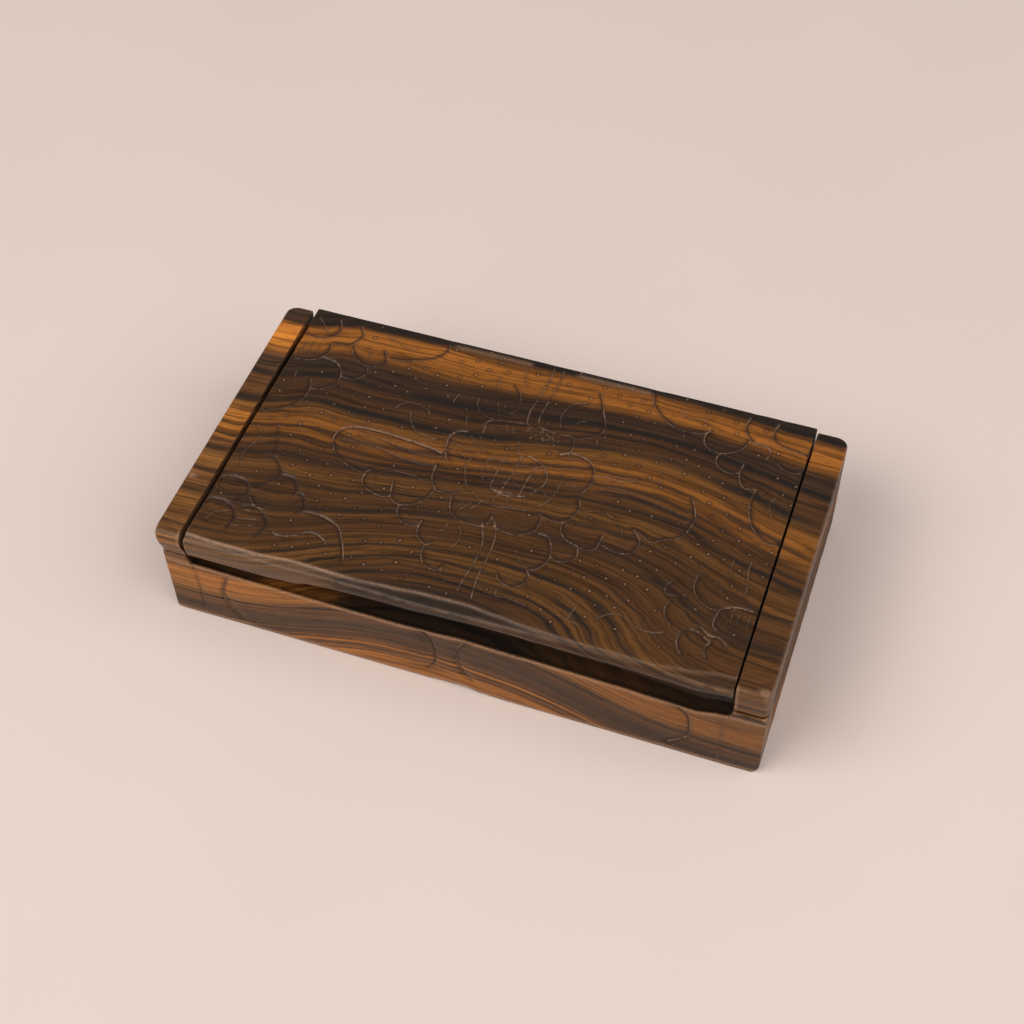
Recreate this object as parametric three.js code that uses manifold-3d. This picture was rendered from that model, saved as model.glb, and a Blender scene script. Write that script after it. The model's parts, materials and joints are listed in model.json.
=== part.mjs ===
// Carved hardwood table box: a hollowed tray, two end caps glued on its ends, and a thick lid that
// swings up between the caps on two hidden pins.
// Millimetres. +X runs along the length, -Y is the front, +Z is up. The origin is the middle of the
// underside.
import * as THREE from 'three';
import { mergeVertices } from 'three/addons/utils/BufferGeometryUtils.js';
import Module from 'manifold-3d';

const wasm = await Module();
wasm.setup();

// ---------------------------------------------------------------- driving dimensions
const LENGTH = 190;
const DEPTH = 100;
const HEIGHT = 40.7;
const TRAY_HEIGHT = 28.9;
const TOUCH_GAP = 0.3;

// Tray walls. The floor and walls are left thick, as a chisel leaves them.
const FLOOR = 6;
const FRONT_WALL = 10;
const BACK_WALL = 8;
const LEFT_WALL = 9.3;
const RIGHT_WALL = 10.3;
const CAVITY_CORNER_RADIUS = 5;
const PLAN_CORNER_RADIUS = 4;
const PLAN_FRONT_CORNER_RADIUS = 0.8;
const LEFT_FOOT_RADIUS = 2;
const RIGHT_FOOT_RADIUS = 4;

// End caps and the lid between them. All three noses pass the tray's front by OVERHANG, and the
// lid's rounded back passes the tray's back by the same amount.
const OVERHANG = 1.8;
const LEFT_CAP_WIDTH = 8.2;
const RIGHT_CAP_WIDTH = 10;
const LEFT_LID_GAP = 1.3;
const RIGHT_LID_GAP = 0.5;
const NOSE_TIP_HEIGHT = 37.2;
const RIGHT_CAP_NOSE_RADIUS = 2;

// Finger groove: a cove along the top of the front wall, and a scoop under the lid's nose that
// fades out towards the left end, where the nose keeps nearly its whole height.
const COVE_FRONT_LAND = 1.5;
const COVE_LIP_HEIGHT = 25.3;
const COVE_BOTTOM_HEIGHT = 24.6;
const COVE_DEPTH = 9;
const NOSE_UNDERSIDE = 31;
const NOSE_BEVEL_DEPTH = 5;
const SCOOP_HEIGHT = 36.2;
const SCOOP_DEPTH = 11;
const SCOOP_STARTS = -52;
const SCOOP_FULL = -27;

// V-groove that marks the glued seam between the caps and the tray.
const SEAM_GROOVE = 0.8;

// Hinge: the lid's back edge is round about the pins, so it turns clear of the back wall. Its upper
// heel is fuller and meets that wall when the lid is open.
const PIN_RADIUS = 1.5;
const PIN_IN_CAP = 5.5;
const PIN_IN_LID = 9;
const HEEL_RADIUS = 1.5;

const CURVE_STEPS = 10;
const PIN_SIDES = 32;

// ---------------------------------------------------------------- places worked out from them
const RIGHT = LENGTH / 2;
const LEFT = -RIGHT;
const BACK = DEPTH / 2;
const FRONT = -BACK;
const NOSE = FRONT - OVERHANG;
const SLAB_BOTTOM = TRAY_HEIGHT + TOUCH_GAP;
const SLAB_THICKNESS = HEIGHT - SLAB_BOTTOM;
const HINGE_RADIUS = SLAB_THICKNESS / 2;
const HINGE_Y = BACK + OVERHANG - HINGE_RADIUS;
const HINGE_Z = SLAB_BOTTOM + HINGE_RADIUS;
const LID_LEFT = LEFT + LEFT_CAP_WIDTH + LEFT_LID_GAP;
const LID_RIGHT = RIGHT - RIGHT_CAP_WIDTH - RIGHT_LID_GAP;

// ---------------------------------------------------------------- materials
const WOODS = {
  tray: { color: 0x6f452c, roughness: 0.5, metalness: 0 },
  cap: { color: 0x7a4d2b, roughness: 0.5, metalness: 0 },
  lid: { color: 0x74492a, roughness: 0.45, metalness: 0 },
};
const PIN_STEEL = { color: 0x8b8782, roughness: 0.45, metalness: 1 };

// ---------------------------------------------------------------- solids and shapes
function toSolid(geometry) {
  geometry.deleteAttribute('normal');
  geometry.deleteAttribute('uv');
  const merged = mergeVertices(geometry, 1e-4);
  return new wasm.Manifold(
    new wasm.Mesh({
      numProp: 3,
      vertProperties: new Float32Array(merged.attributes.position.array),
      triVerts: new Uint32Array(merged.index.array),
    }),
  );
}

function toGeometry(solid) {
  const mesh = solid.getMesh();
  const geometry = new THREE.BufferGeometry();
  geometry.setAttribute('position', new THREE.BufferAttribute(mesh.vertProperties, 3));
  geometry.setIndex(new THREE.BufferAttribute(mesh.triVerts, 1));
  geometry.computeVertexNormals();
  return geometry;
}

// A section drawn in (y, z), pushed along X from x0 to x1.
function alongX(section, x0, x1) {
  const geometry = new THREE.ExtrudeGeometry(section, {
    depth: x1 - x0,
    bevelEnabled: false,
    curveSegments: CURVE_STEPS,
  });
  const yAxis = new THREE.Vector3(0, 1, 0);
  const zAxis = new THREE.Vector3(0, 0, 1);
  const xAxis = new THREE.Vector3(1, 0, 0);
  geometry.applyMatrix4(new THREE.Matrix4().makeBasis(yAxis, zAxis, xAxis));
  geometry.translate(x0, 0, 0);
  return toSolid(geometry);
}

// An outline drawn in (x, z), pushed along Y from y0 to y1.
function alongY(outline, y0, y1) {
  const geometry = new THREE.ExtrudeGeometry(outline, {
    depth: y1 - y0,
    bevelEnabled: false,
    curveSegments: CURVE_STEPS,
  });
  geometry.rotateX(Math.PI / 2);
  geometry.translate(0, y1, 0);
  return toSolid(geometry);
}

// A plan outline drawn in (x, y), pushed up from z0 to z1.
function upwards(outline, z0, z1) {
  const geometry = new THREE.ExtrudeGeometry(outline, {
    depth: z1 - z0,
    bevelEnabled: false,
    curveSegments: CURVE_STEPS,
  });
  geometry.translate(0, 0, z0);
  return toSolid(geometry);
}

// A rectangle whose corners are rounded in the order low-left, low-right, high-right, high-left.
function roundedRectangle(x0, y0, x1, y1, [r0, r1, r2, r3]) {
  const quarter = Math.PI / 2;
  const shape = new THREE.Shape();
  shape.moveTo(x0 + r0, y0);
  shape.lineTo(x1 - r1, y0);
  shape.absarc(x1 - r1, y0 + r1, r1, -quarter, 0);
  shape.lineTo(x1, y1 - r2);
  shape.absarc(x1 - r2, y1 - r2, r2, 0, quarter);
  shape.lineTo(x0 + r3, y1);
  shape.absarc(x0 + r3, y1 - r3, r3, quarter, 2 * quarter);
  shape.lineTo(x0, y0 + r0);
  shape.absarc(x0 + r0, y0 + r0, r0, 2 * quarter, 3 * quarter);
  return shape;
}

function pinCylinder(radius, x0, x1) {
  const geometry = new THREE.CylinderGeometry(radius, radius, x1 - x0, PIN_SIDES);
  geometry.rotateZ(Math.PI / 2);
  geometry.translate((x0 + x1) / 2, HINGE_Y, HINGE_Z);
  return toSolid(geometry);
}

// Four-sided bars along the seam, whose corners cut a V into the wood on both sides of it.
function seamGrooves() {
  const seam = TRAY_HEIGHT + TOUCH_GAP / 2;
  const diamond = (across) => {
    const shape = new THREE.Shape();
    shape.moveTo(across - SEAM_GROOVE, seam);
    shape.lineTo(across, seam - SEAM_GROOVE);
    shape.lineTo(across + SEAM_GROOVE, seam);
    shape.lineTo(across, seam + SEAM_GROOVE);
    shape.closePath();
    return shape;
  };
  const past = 2 * SEAM_GROOVE;
  return alongX(diamond(FRONT), LEFT - past, RIGHT + past)
    .add(alongX(diamond(BACK), LEFT - past, RIGHT + past))
    .add(alongY(diamond(LEFT), FRONT - past, BACK + past))
    .add(alongY(diamond(RIGHT), FRONT - past, BACK + past));
}

// ---------------------------------------------------------------- sections of caps and lid
// The nose that the left cap and the lid share, drawn from the top face down to noseFoot.
function addRoundNose(section, noseFoot) {
  section.lineTo(FRONT + 4.5, HEIGHT);
  section.bezierCurveTo(FRONT + 0.5, HEIGHT, NOSE, HEIGHT - 1.2, NOSE, NOSE_TIP_HEIGHT);
  section.bezierCurveTo(NOSE, NOSE_TIP_HEIGHT - 3, noseFoot.x, noseFoot.y + 2, noseFoot.x, noseFoot.y);
}

function lidSection() {
  const section = new THREE.Shape();
  section.moveTo(HINGE_Y, SLAB_BOTTOM);
  section.absarc(HINGE_Y, HINGE_Z, HINGE_RADIUS, -Math.PI / 2, 0);
  section.lineTo(HINGE_Y + HINGE_RADIUS, HEIGHT - HEEL_RADIUS);
  section.absarc(HINGE_Y + HINGE_RADIUS - HEEL_RADIUS, HEIGHT - HEEL_RADIUS, HEEL_RADIUS, 0, Math.PI / 2);
  addRoundNose(section, new THREE.Vector2(FRONT - 0.4, NOSE_UNDERSIDE));
  section.lineTo(FRONT + NOSE_BEVEL_DEPTH, SLAB_BOTTOM);
  section.closePath();
  return section;
}

// What the finger scoop takes from under the nose: a wedge in section, with a ramp at its left end.
function fingerScoop() {
  const below = SLAB_BOTTOM - 1;
  const wedge = new THREE.Shape();
  wedge.moveTo(NOSE - 1, below);
  wedge.lineTo(FRONT + SCOOP_DEPTH + 1.2, below);
  wedge.lineTo(FRONT - 1, SCOOP_HEIGHT);
  wedge.lineTo(NOSE - 1, SCOOP_HEIGHT);
  wedge.closePath();
  const ramp = new THREE.Shape();
  ramp.moveTo(SCOOP_STARTS, below);
  ramp.lineTo(LID_RIGHT + 1, below);
  ramp.lineTo(LID_RIGHT + 1, SCOOP_HEIGHT + 1);
  ramp.lineTo(SCOOP_FULL, SCOOP_HEIGHT + 1);
  ramp.closePath();
  return alongX(wedge, SCOOP_STARTS - 1, LID_RIGHT + 1)
    .intersect(alongY(ramp, NOSE - 2, FRONT + SCOOP_DEPTH + 3));
}

function roundNosedCapSection() {
  const section = new THREE.Shape();
  section.moveTo(FRONT, SLAB_BOTTOM);
  section.lineTo(BACK, SLAB_BOTTOM);
  section.lineTo(BACK, HEIGHT - 1);
  section.lineTo(BACK - 1, HEIGHT);
  addRoundNose(section, new THREE.Vector2(FRONT, SLAB_BOTTOM));
  section.closePath();
  return section;
}

function squareNosedCapSection() {
  const shoulder = FRONT - OVERHANG / 3;
  const section = new THREE.Shape();
  section.moveTo(FRONT, SLAB_BOTTOM);
  section.lineTo(BACK, SLAB_BOTTOM);
  section.lineTo(BACK, HEIGHT - 1);
  section.lineTo(BACK - 1, HEIGHT);
  section.lineTo(shoulder + RIGHT_CAP_NOSE_RADIUS, HEIGHT);
  section.quadraticCurveTo(shoulder, HEIGHT, shoulder, HEIGHT - RIGHT_CAP_NOSE_RADIUS);
  section.closePath();
  return section;
}

// The finger groove's cross-section: a land at the lip, then a cove that rises to the rim.
function coveSection() {
  const rim = FRONT + COVE_DEPTH;
  const section = new THREE.Shape();
  section.moveTo(FRONT - 3, COVE_LIP_HEIGHT);
  section.lineTo(FRONT + COVE_FRONT_LAND, COVE_LIP_HEIGHT);
  section.bezierCurveTo(
    FRONT + 2.5, COVE_BOTTOM_HEIGHT,
    FRONT + 6, COVE_BOTTOM_HEIGHT,
    rim, TRAY_HEIGHT + 0.01,
  );
  section.lineTo(rim, TRAY_HEIGHT + 2);
  section.lineTo(FRONT - 3, TRAY_HEIGHT + 2);
  section.closePath();
  return section;
}

// ---------------------------------------------------------------- the pieces
function tray() {
  const face = roundedRectangle(LEFT, 0, RIGHT, TRAY_HEIGHT, [LEFT_FOOT_RADIUS, RIGHT_FOOT_RADIUS, 0.01, 0.01]);
  const corners = [
    PLAN_FRONT_CORNER_RADIUS,
    PLAN_FRONT_CORNER_RADIUS,
    PLAN_CORNER_RADIUS,
    PLAN_CORNER_RADIUS,
  ];
  const plan = roundedRectangle(LEFT, FRONT, RIGHT, BACK, corners);
  const hollow = roundedRectangle(
    LEFT + LEFT_WALL,
    FRONT + FRONT_WALL,
    RIGHT - RIGHT_WALL,
    BACK - BACK_WALL,
    Array(4).fill(CAVITY_CORNER_RADIUS),
  );
  return alongY(face, FRONT - 1, BACK + 1)
    .intersect(upwards(plan, -1, TRAY_HEIGHT + 1))
    .subtract(upwards(hollow, FLOOR, HEIGHT))
    .subtract(alongX(coveSection(), LEFT + LEFT_CAP_WIDTH, RIGHT - RIGHT_CAP_WIDTH))
    .subtract(seamGrooves());
}

function endCap(section, x0, x1, corners, pinBore) {
  const plan = roundedRectangle(x0, NOSE - 1, x1, BACK, corners);
  return alongX(section, x0, x1)
    .intersect(upwards(plan, SLAB_BOTTOM - 1, HEIGHT + 1))
    .subtract(seamGrooves())
    .subtract(pinBore);
}

function leftEndCap() {
  const inner = LEFT + LEFT_CAP_WIDTH;
  const bore = pinCylinder(PIN_RADIUS + TOUCH_GAP, inner - PIN_IN_CAP - TOUCH_GAP, inner + 1);
  const corners = [0.9, 0.4, 0.2, PLAN_CORNER_RADIUS];
  return endCap(roundNosedCapSection(), LEFT, inner, corners, bore);
}

function rightEndCap() {
  const inner = RIGHT - RIGHT_CAP_WIDTH;
  const bore = pinCylinder(PIN_RADIUS + TOUCH_GAP, inner - 1, inner + PIN_IN_CAP + TOUCH_GAP);
  const corners = [0.2, 2.2, PLAN_CORNER_RADIUS, 0.2];
  return endCap(squareNosedCapSection(), inner, RIGHT, corners, bore);
}

function lid() {
  const leftBore = pinCylinder(PIN_RADIUS + TOUCH_GAP, LID_LEFT - 1, LID_LEFT + PIN_IN_LID + TOUCH_GAP);
  const rightBore = pinCylinder(PIN_RADIUS + TOUCH_GAP, LID_RIGHT - PIN_IN_LID - TOUCH_GAP, LID_RIGHT + 1);
  return alongX(lidSection(), LID_LEFT, LID_RIGHT)
    .subtract(fingerScoop())
    .subtract(leftBore)
    .subtract(rightBore);
}

function leftHingePin() {
  return pinCylinder(PIN_RADIUS, LEFT + LEFT_CAP_WIDTH - PIN_IN_CAP, LID_LEFT + PIN_IN_LID);
}

function rightHingePin() {
  return pinCylinder(PIN_RADIUS, LID_RIGHT - PIN_IN_LID, RIGHT - RIGHT_CAP_WIDTH + PIN_IN_CAP);
}

// ---------------------------------------------------------------- the box
function addPiece(group, name, solid, finish) {
  const mesh = new THREE.Mesh(toGeometry(solid), new THREE.MeshStandardMaterial(finish));
  mesh.name = name;
  group.add(mesh);
}

const box = new THREE.Group();
addPiece(box, 'tray', tray(), WOODS.tray);
addPiece(box, 'left_end_cap', leftEndCap(), WOODS.cap);
addPiece(box, 'right_end_cap', rightEndCap(), WOODS.cap);
addPiece(box, 'lid', lid(), WOODS.lid);
addPiece(box, 'left_hinge_pin', leftHingePin(), PIN_STEEL);
addPiece(box, 'right_hinge_pin', rightHingePin(), PIN_STEEL);

export default box;
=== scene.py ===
"""Carved table box in striped ebony: a hollowed tray, two end caps and a thick lid on hidden pins.

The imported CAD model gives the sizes, the places and the hinge. This script makes the fine surface of
every piece in mesh code, cuts the carving into it with Geometry Nodes, and gives it its finish.
Shapes are worked out in millimetres and become metres when a mesh is made.
"""
import json
import math

import bmesh
import bpy
import numpy as np
from mathutils import Matrix, Vector, geometry


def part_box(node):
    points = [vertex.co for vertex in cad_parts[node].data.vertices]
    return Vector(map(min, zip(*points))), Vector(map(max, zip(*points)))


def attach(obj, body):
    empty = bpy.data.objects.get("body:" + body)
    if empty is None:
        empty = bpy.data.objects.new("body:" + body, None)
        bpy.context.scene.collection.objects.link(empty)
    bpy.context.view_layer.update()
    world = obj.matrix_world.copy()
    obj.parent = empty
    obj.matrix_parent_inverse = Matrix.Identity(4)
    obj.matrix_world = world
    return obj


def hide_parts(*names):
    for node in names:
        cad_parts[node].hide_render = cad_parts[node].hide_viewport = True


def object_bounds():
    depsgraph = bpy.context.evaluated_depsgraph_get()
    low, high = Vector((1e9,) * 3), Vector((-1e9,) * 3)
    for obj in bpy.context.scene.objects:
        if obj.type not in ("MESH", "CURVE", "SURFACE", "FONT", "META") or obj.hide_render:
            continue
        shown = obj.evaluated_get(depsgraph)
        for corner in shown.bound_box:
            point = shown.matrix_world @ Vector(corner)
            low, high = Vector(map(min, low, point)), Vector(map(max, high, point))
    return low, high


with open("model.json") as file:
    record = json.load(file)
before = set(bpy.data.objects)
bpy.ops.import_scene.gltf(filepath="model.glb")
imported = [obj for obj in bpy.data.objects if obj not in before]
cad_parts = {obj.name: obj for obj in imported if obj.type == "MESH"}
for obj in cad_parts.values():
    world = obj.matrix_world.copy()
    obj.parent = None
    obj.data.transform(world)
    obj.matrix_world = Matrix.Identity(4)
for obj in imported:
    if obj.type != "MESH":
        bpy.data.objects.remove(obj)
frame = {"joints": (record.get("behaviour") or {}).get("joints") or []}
CAD_BOUNDS = [list(corner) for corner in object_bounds()]

MM = 0.001

# ------------------------------------------------------------------ places taken from the frame


def corners_mm(node):
    low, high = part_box(node)
    return np.array(low) / MM, np.array(high) / MM


TRAY_LOW, TRAY_HIGH = corners_mm("tray")
LID_LOW, LID_HIGH = corners_mm("lid")
LEFT_CAP_LOW, LEFT_CAP_HIGH = corners_mm("left_end_cap")
RIGHT_CAP_LOW, RIGHT_CAP_HIGH = corners_mm("right_end_cap")
LEFT, FRONT, _ = TRAY_LOW
RIGHT, BACK, RIM = TRAY_HIGH
TOP = LID_HIGH[2]
SLAB_BOTTOM = LID_LOW[2]
NOSE = LID_LOW[1]
HINGE_Y, HINGE_Z = (value / MM for value in frame["joints"][0]["pos_m"][1:])
HINGE_RADIUS = HINGE_Z - SLAB_BOTTOM
DEPTH_MM = BACK - FRONT
PIN_BORE = 1.8
PIN_IN_LID = 9.3
PIN_IN_CAP = 5.8

# Tray: walls, corners and feet, in step with the CAD tray.
FLOOR = 6
WALLS = {"front": 10, "back": 8, "left": 9.3, "right": 10.3}
INNER_CORNER = 5
PLAN_CORNERS = {"front": 0.8, "back": 4}
FOOT_RADII = {"left": 2, "right": 4}
SEAM_BEVEL = 0.7

# ------------------------------------------------------------------ given outlines
# Stations are (distance from the left end, value). The nose's crest is given as its distance
# behind the front face, and the scoop as 0 for a full nose and 1 for one cut back to a thin lip.
CREST_STATIONS = [(9, 0.9), (20, 0.5), (33, 0.5), (45, 1.4), (57, 1.2), (63, 1.1), (75, 1.8),
                  (87, 2.7), (99, 3.0), (108, 2.2), (118, 1.2), (132, 0.6), (144, 0.7), (156, 0.3),
                  (163, 1.4), (177, 3.4)]
SCOOP_STATIONS = [(34, 0), (44, 0.1), (50, 0.35), (58, 0.48), (70, 0.6), (82, 0.63), (94, 0.85),
                  (104, 1.1), (122, 1.0), (133, 0.9), (145, 0.9), (157, 0.72), (168, 0.55), (180, 0.9)]
# Height of the tray's front arris, and the ragged lower edge of its front face.
LIP_STATIONS = [(9, 25.5), (32, 25.0), (55, 24.7), (76, 24.7), (88, 25.1), (100, 26.3), (118, 26.0),
                (132, 25.6), (145, 25.2), (157, 24.5), (169, 23.9), (177, 25.6), (180, 26.2)]
FOOT_STATIONS = [(0, 0), (20, 0.15), (60, 0), (84, 0.1), (93, 0.7), (98, 1.4), (103, 0.5), (112, 0),
                 (150, 0.1), (175, 0)]
COVE_DEPTH = 9
COVE_SINK = 1.5
# How dark the hollow behind the front arris is painted: painted shade, with some soot.
COVE_SHADE_AND_SOOT = [(9, 1), (28, 0.9), (36, 0.5), (52, 0.6), (60, 1), (181, 1)]

# A full nose, and the same points where the finger scoop is cut right in, from the underside round
# the tip to just under the crest: (distance behind the front face, height).
FULL_NOSE = [(5, 29.2), (1.4, 30.2), (-0.7, 31.4), (-1.5, 34.0), (-1.75, 37.2), (-1.3, 39.2)]
SCOOPED_NOSE = [(11.5, 29.2), (6, 32), (2, 34.6), (-0.2, 36.0), (-1.0, 37.4), (-0.5, 39.2)]
CREST_HEIGHT = 40.35
SHOULDER = 8
# The tray's front swells forward, most to the right of the middle: (distance along, swell).
SWELL_STATIONS = [(0, 0.1), (8, 0.2), (90, 0.28), (104, 0.75), (182, 0.8), (190, 0.6)]

# ------------------------------------------------------------------ carving, as a plan of cuts
# Each cut is (tool, raised side, x, y, x, y, ...) in millimetres from the front left corner of the
# box: L or R is the side of the stroke that stands up, and - is a plain line.
FLOWER = [
    ("gouge", "R", 74.2, 53.1, 73.2, 54.1, 71.8, 57.9, 71.3, 62, 73, 65, 76, 66),
    ("gouge", "L", 71.5, 50, 72, 45, 74.5, 41, 78, 40.5, 81.5, 41.5),
    ("gouge", "L", 80.5, 40.5, 80.9, 37.1, 82.4, 34, 85.5, 32, 90.5, 31.5, 93.8, 32.1, 94.7, 36.3),
    ("gouge", "L", 96, 33, 99.5, 32, 103, 31.7, 106, 33, 108.5, 35, 109.2, 38, 109, 40),
    ("gouge", "L", 107.7, 41.6, 111.2, 40.6, 115.5, 40.8, 118, 44.5, 118.7, 48, 117.5, 51),
    ("gouge", "L", 117.5, 53.5, 119, 57, 119, 61, 117.5, 65, 114, 67, 110, 67.5, 106.5, 66),
    ("knife", "R", 80.7, 66.5, 80.3, 71, 83, 73, 92, 74.5),
    ("knife", "R", 96.5, 74.5, 103, 73.5, 107.5, 74, 109, 71.5, 109.2, 68, 106.5, 66.5),
    ("knife", "-", 73.5, 72, 74.5, 68),
]
# Rays of the petals, and the fringe of short cuts over the flower.
RAYS = [
    ("ray", "-", 73, 60, 79.6, 58.2), ("ray", "-", 73.4, 57.5, 79.1, 55.6),
    ("ray", "-", 77.4, 64.3, 85.4, 59.6), ("ray", "-", 80.1, 61.6, 84.4, 59.8),
    ("ray", "-", 80.3, 65, 83.2, 63.1), ("knife", "-", 83.2, 36.1, 85.2, 39.4),
    ("knife", "-", 84.5, 35.6, 87.5, 39.7), ("knife", "-", 87.6, 36.6, 90, 40.6),
    ("ray", "-", 108.4, 64.5, 113.3, 66.2), ("ray", "-", 109.5, 61.1, 115.5, 62),
    ("ray", "-", 111.2, 57.1, 117, 59.5), ("knife", "-", 111.7, 54.6, 116.5, 55.6),
    ("knife", "-", 92.5, 67.2, 93.8, 62.9), ("knife", "-", 81, 67.1, 80.7, 69.9),
    ("ray", "-", 84.4, 70.7, 85.8, 67.8), ("ray", "-", 86.4, 72.3, 87.9, 69.5),
    ("ray", "-", 88.8, 72.6, 89.9, 69.1), ("ray", "-", 90.6, 72.7, 91.7, 70.7),
    ("ray", "-", 82.5, 70, 82.9, 67.8),
]
# The seed head: its faint outer ring, the woven middle and the spokes between them.
SEED_HEAD = [
    ("knife", "-", 83, 59.5, 80.9, 55.8, 80.5, 51.9, 81.7, 48.2, 83.8, 44.4, 87.2, 42.3, 90.7, 40.6,
     95, 40.2, 99.6, 40.9, 104.1, 41.9, 108, 45.7, 109.7, 48.9, 110.3, 52.3, 110.2, 56.3, 109.7, 58.5),
    ("gouge", "-", 97, 62.2, 98.6, 62.1, 102.4, 60.2, 104.7, 58.2, 105.8, 55.3, 105.6, 53, 104.7, 50.4,
     103, 48.1, 101.1, 46.5, 98, 45.5, 94.3, 45.1, 91, 46.3),
    ("knife", "-", 88.4, 58.2, 86.5, 57.5, 85.6, 53.6, 85.9, 51, 87.2, 48.6),
    ("gouge", "-", 90.8, 60.5, 90.3, 55.2, 90.2, 49.2, 90.4, 47),
    ("gouge", "-", 95.5, 61.6, 95.2, 55.5, 94.4, 49.7, 93.7, 44.9, 92.9, 41.7),
    ("gouge", "-", 101.3, 58.9, 100.3, 53.9, 99.9, 48.8, 99.8, 46.6),
    ("knife", "-", 96.6, 45, 97.9, 41.4), ("knife", "-", 101.3, 46.6, 103, 43.1),
    ("knife", "-", 105.8, 50.3, 108.3, 48.3), ("knife", "-", 92.6, 62, 95.8, 62.4),
]
# Short bright cuts of the weave, row under row: (height of the row, bow, spans).
WEAVE = [
    (57.9, 0.25, [(87, 89.8), (91.2, 94.2), (96.1, 99.8), (101.7, 104.2)]),
    (54.0, 0.3, [(86.2, 89.5), (90.9, 94), (95.5, 98.9), (100.9, 104.7)]),
    (50.1, 0.3, [(86.8, 89.2), (91, 93.6), (95.2, 98.7), (100.5, 104)]),
    (46.2, 0.2, [(91, 93.2), (94.4, 98.6)]),
]
STEMS = [
    ("gouge", "-", 93.3, 100, 93.5, 96, 93, 90, 92.3, 84, 91.8, 80, 92.3, 76, 93.3, 74),
    ("gouge", "-", 96.7, 100, 96.8, 95, 96.3, 88, 95.6, 82, 95.7, 77, 97, 74.5),
    ("gouge", "-", 92.8, 33, 94, 30, 95.2, 27, 95.8, 23, 95.6, 17, 94.8, 12, 94.5, 7),
    ("gouge", "-", 94.7, 36, 96.5, 34, 98, 30.5, 98.7, 26, 98.8, 20, 98.4, 14, 98.8, 9, 99.4, 5),
]
LEFT_LEAF = [
    ("gouge", "L", 71.5, 55, 66, 56, 55, 57, 44, 57, 38.5, 55, 36.8, 51, 38.5, 46.5, 41, 43.5,
     45, 41.5, 50, 40, 53, 41.8),
    ("rib", "-", 44, 54, 50, 54.3, 58, 53, 66, 52.3, 74, 53.3),
    ("rib", "-", 40, 50, 46, 50.8, 52, 50.5, 58, 49, 66, 48.5, 72, 48.8),
    ("gouge", "L", 52.5, 41.5, 51.8, 38, 53, 35.5, 55.5, 34, 60, 33, 62.5, 34),
    ("knife", "-", 55.5, 39, 57, 42, 61, 43.5, 66, 43.5, 70, 42.5),
    ("gouge", "L", 61.5, 39, 62.2, 35, 63.5, 33, 66, 31.8, 70, 33, 73, 36, 74.2, 39.5, 74, 42),
    ("gouge", "L", 66.5, 31.5, 66.8, 29, 68.5, 26.5, 71, 25.3, 74.8, 25.7),
    ("knife", "-", 72, 33, 73, 30.5), ("knife", "-", 74, 34, 75.5, 31.5),
    ("gouge", "L", 75.2, 28, 75.4, 23.5, 77.5, 21, 79.5, 20, 81, 21.2),
    ("knife", "-", 86, 29.5, 88, 27.5, 88.3, 23.5, 87, 20.5),
    ("knife", "-", 83.3, 30, 82.8, 27, 81.5, 25.5),
    ("gouge", "L", 79.5, 19, 79.6, 16.5, 80.8, 14, 83, 12.3, 86, 12, 87.5, 14.5),
    ("knife", "-", 87.3, 14, 87.6, 10.5),
]
RIGHT_LEAF = [
    ("knife", "-", 119, 61, 125, 62, 132, 64),
    ("knife", "-", 121, 61.5, 127, 61.3, 132, 63),
    ("gouge", "R", 150, 62, 151.5, 59, 152.8, 55, 152.5, 52, 151.5, 48, 150, 46, 146, 44,
     142.5, 42, 139.5, 44, 136.5, 45),
    ("rib", "-", 124, 58, 129, 58, 137, 56.7, 145, 55, 150, 54),
    ("rib", "-", 122, 56, 130, 57, 138, 56, 146, 54),
    ("gouge", "L", 115.5, 41, 116.2, 37.5, 118.5, 35, 121.5, 34, 125, 33.2, 127.8, 34.2, 128.3, 37,
     128.5, 39.8),
    ("gouge", "L", 129.5, 36.5, 132.5, 35.3, 136, 35.3, 139, 37, 139.6, 41, 137.5, 44),
    ("knife", "-", 120.5, 46.5, 124, 48, 127.5, 48, 131, 46, 133.5, 43, 134, 41),
    ("gouge", "R", 122.8, 33, 123.5, 30, 121.5, 27.5, 118.5, 26.5, 116.5, 27.5),
    ("gouge", "R", 110, 34.5, 113, 34, 115, 31.5, 116, 27.5, 115.3, 24, 113.5, 21.5, 112, 21),
    ("knife", "-", 106, 26.5, 107, 24, 109.5, 22),
    ("gouge", "R", 111, 20.5, 112.5, 18.5, 112, 15.5, 110, 13.7, 107.5, 13.3, 104.5, 14.7,
     103.3, 16.5),
    ("knife", "-", 105.3, 11, 105.7, 8.5, 109, 9, 115, 8),
    ("knife", "-", 129, 12, 128.3, 8.5, 128.5, 6.8, 132, 6.5),
    ("knife", "-", 124, 8, 128, 6.8),
]
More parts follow.
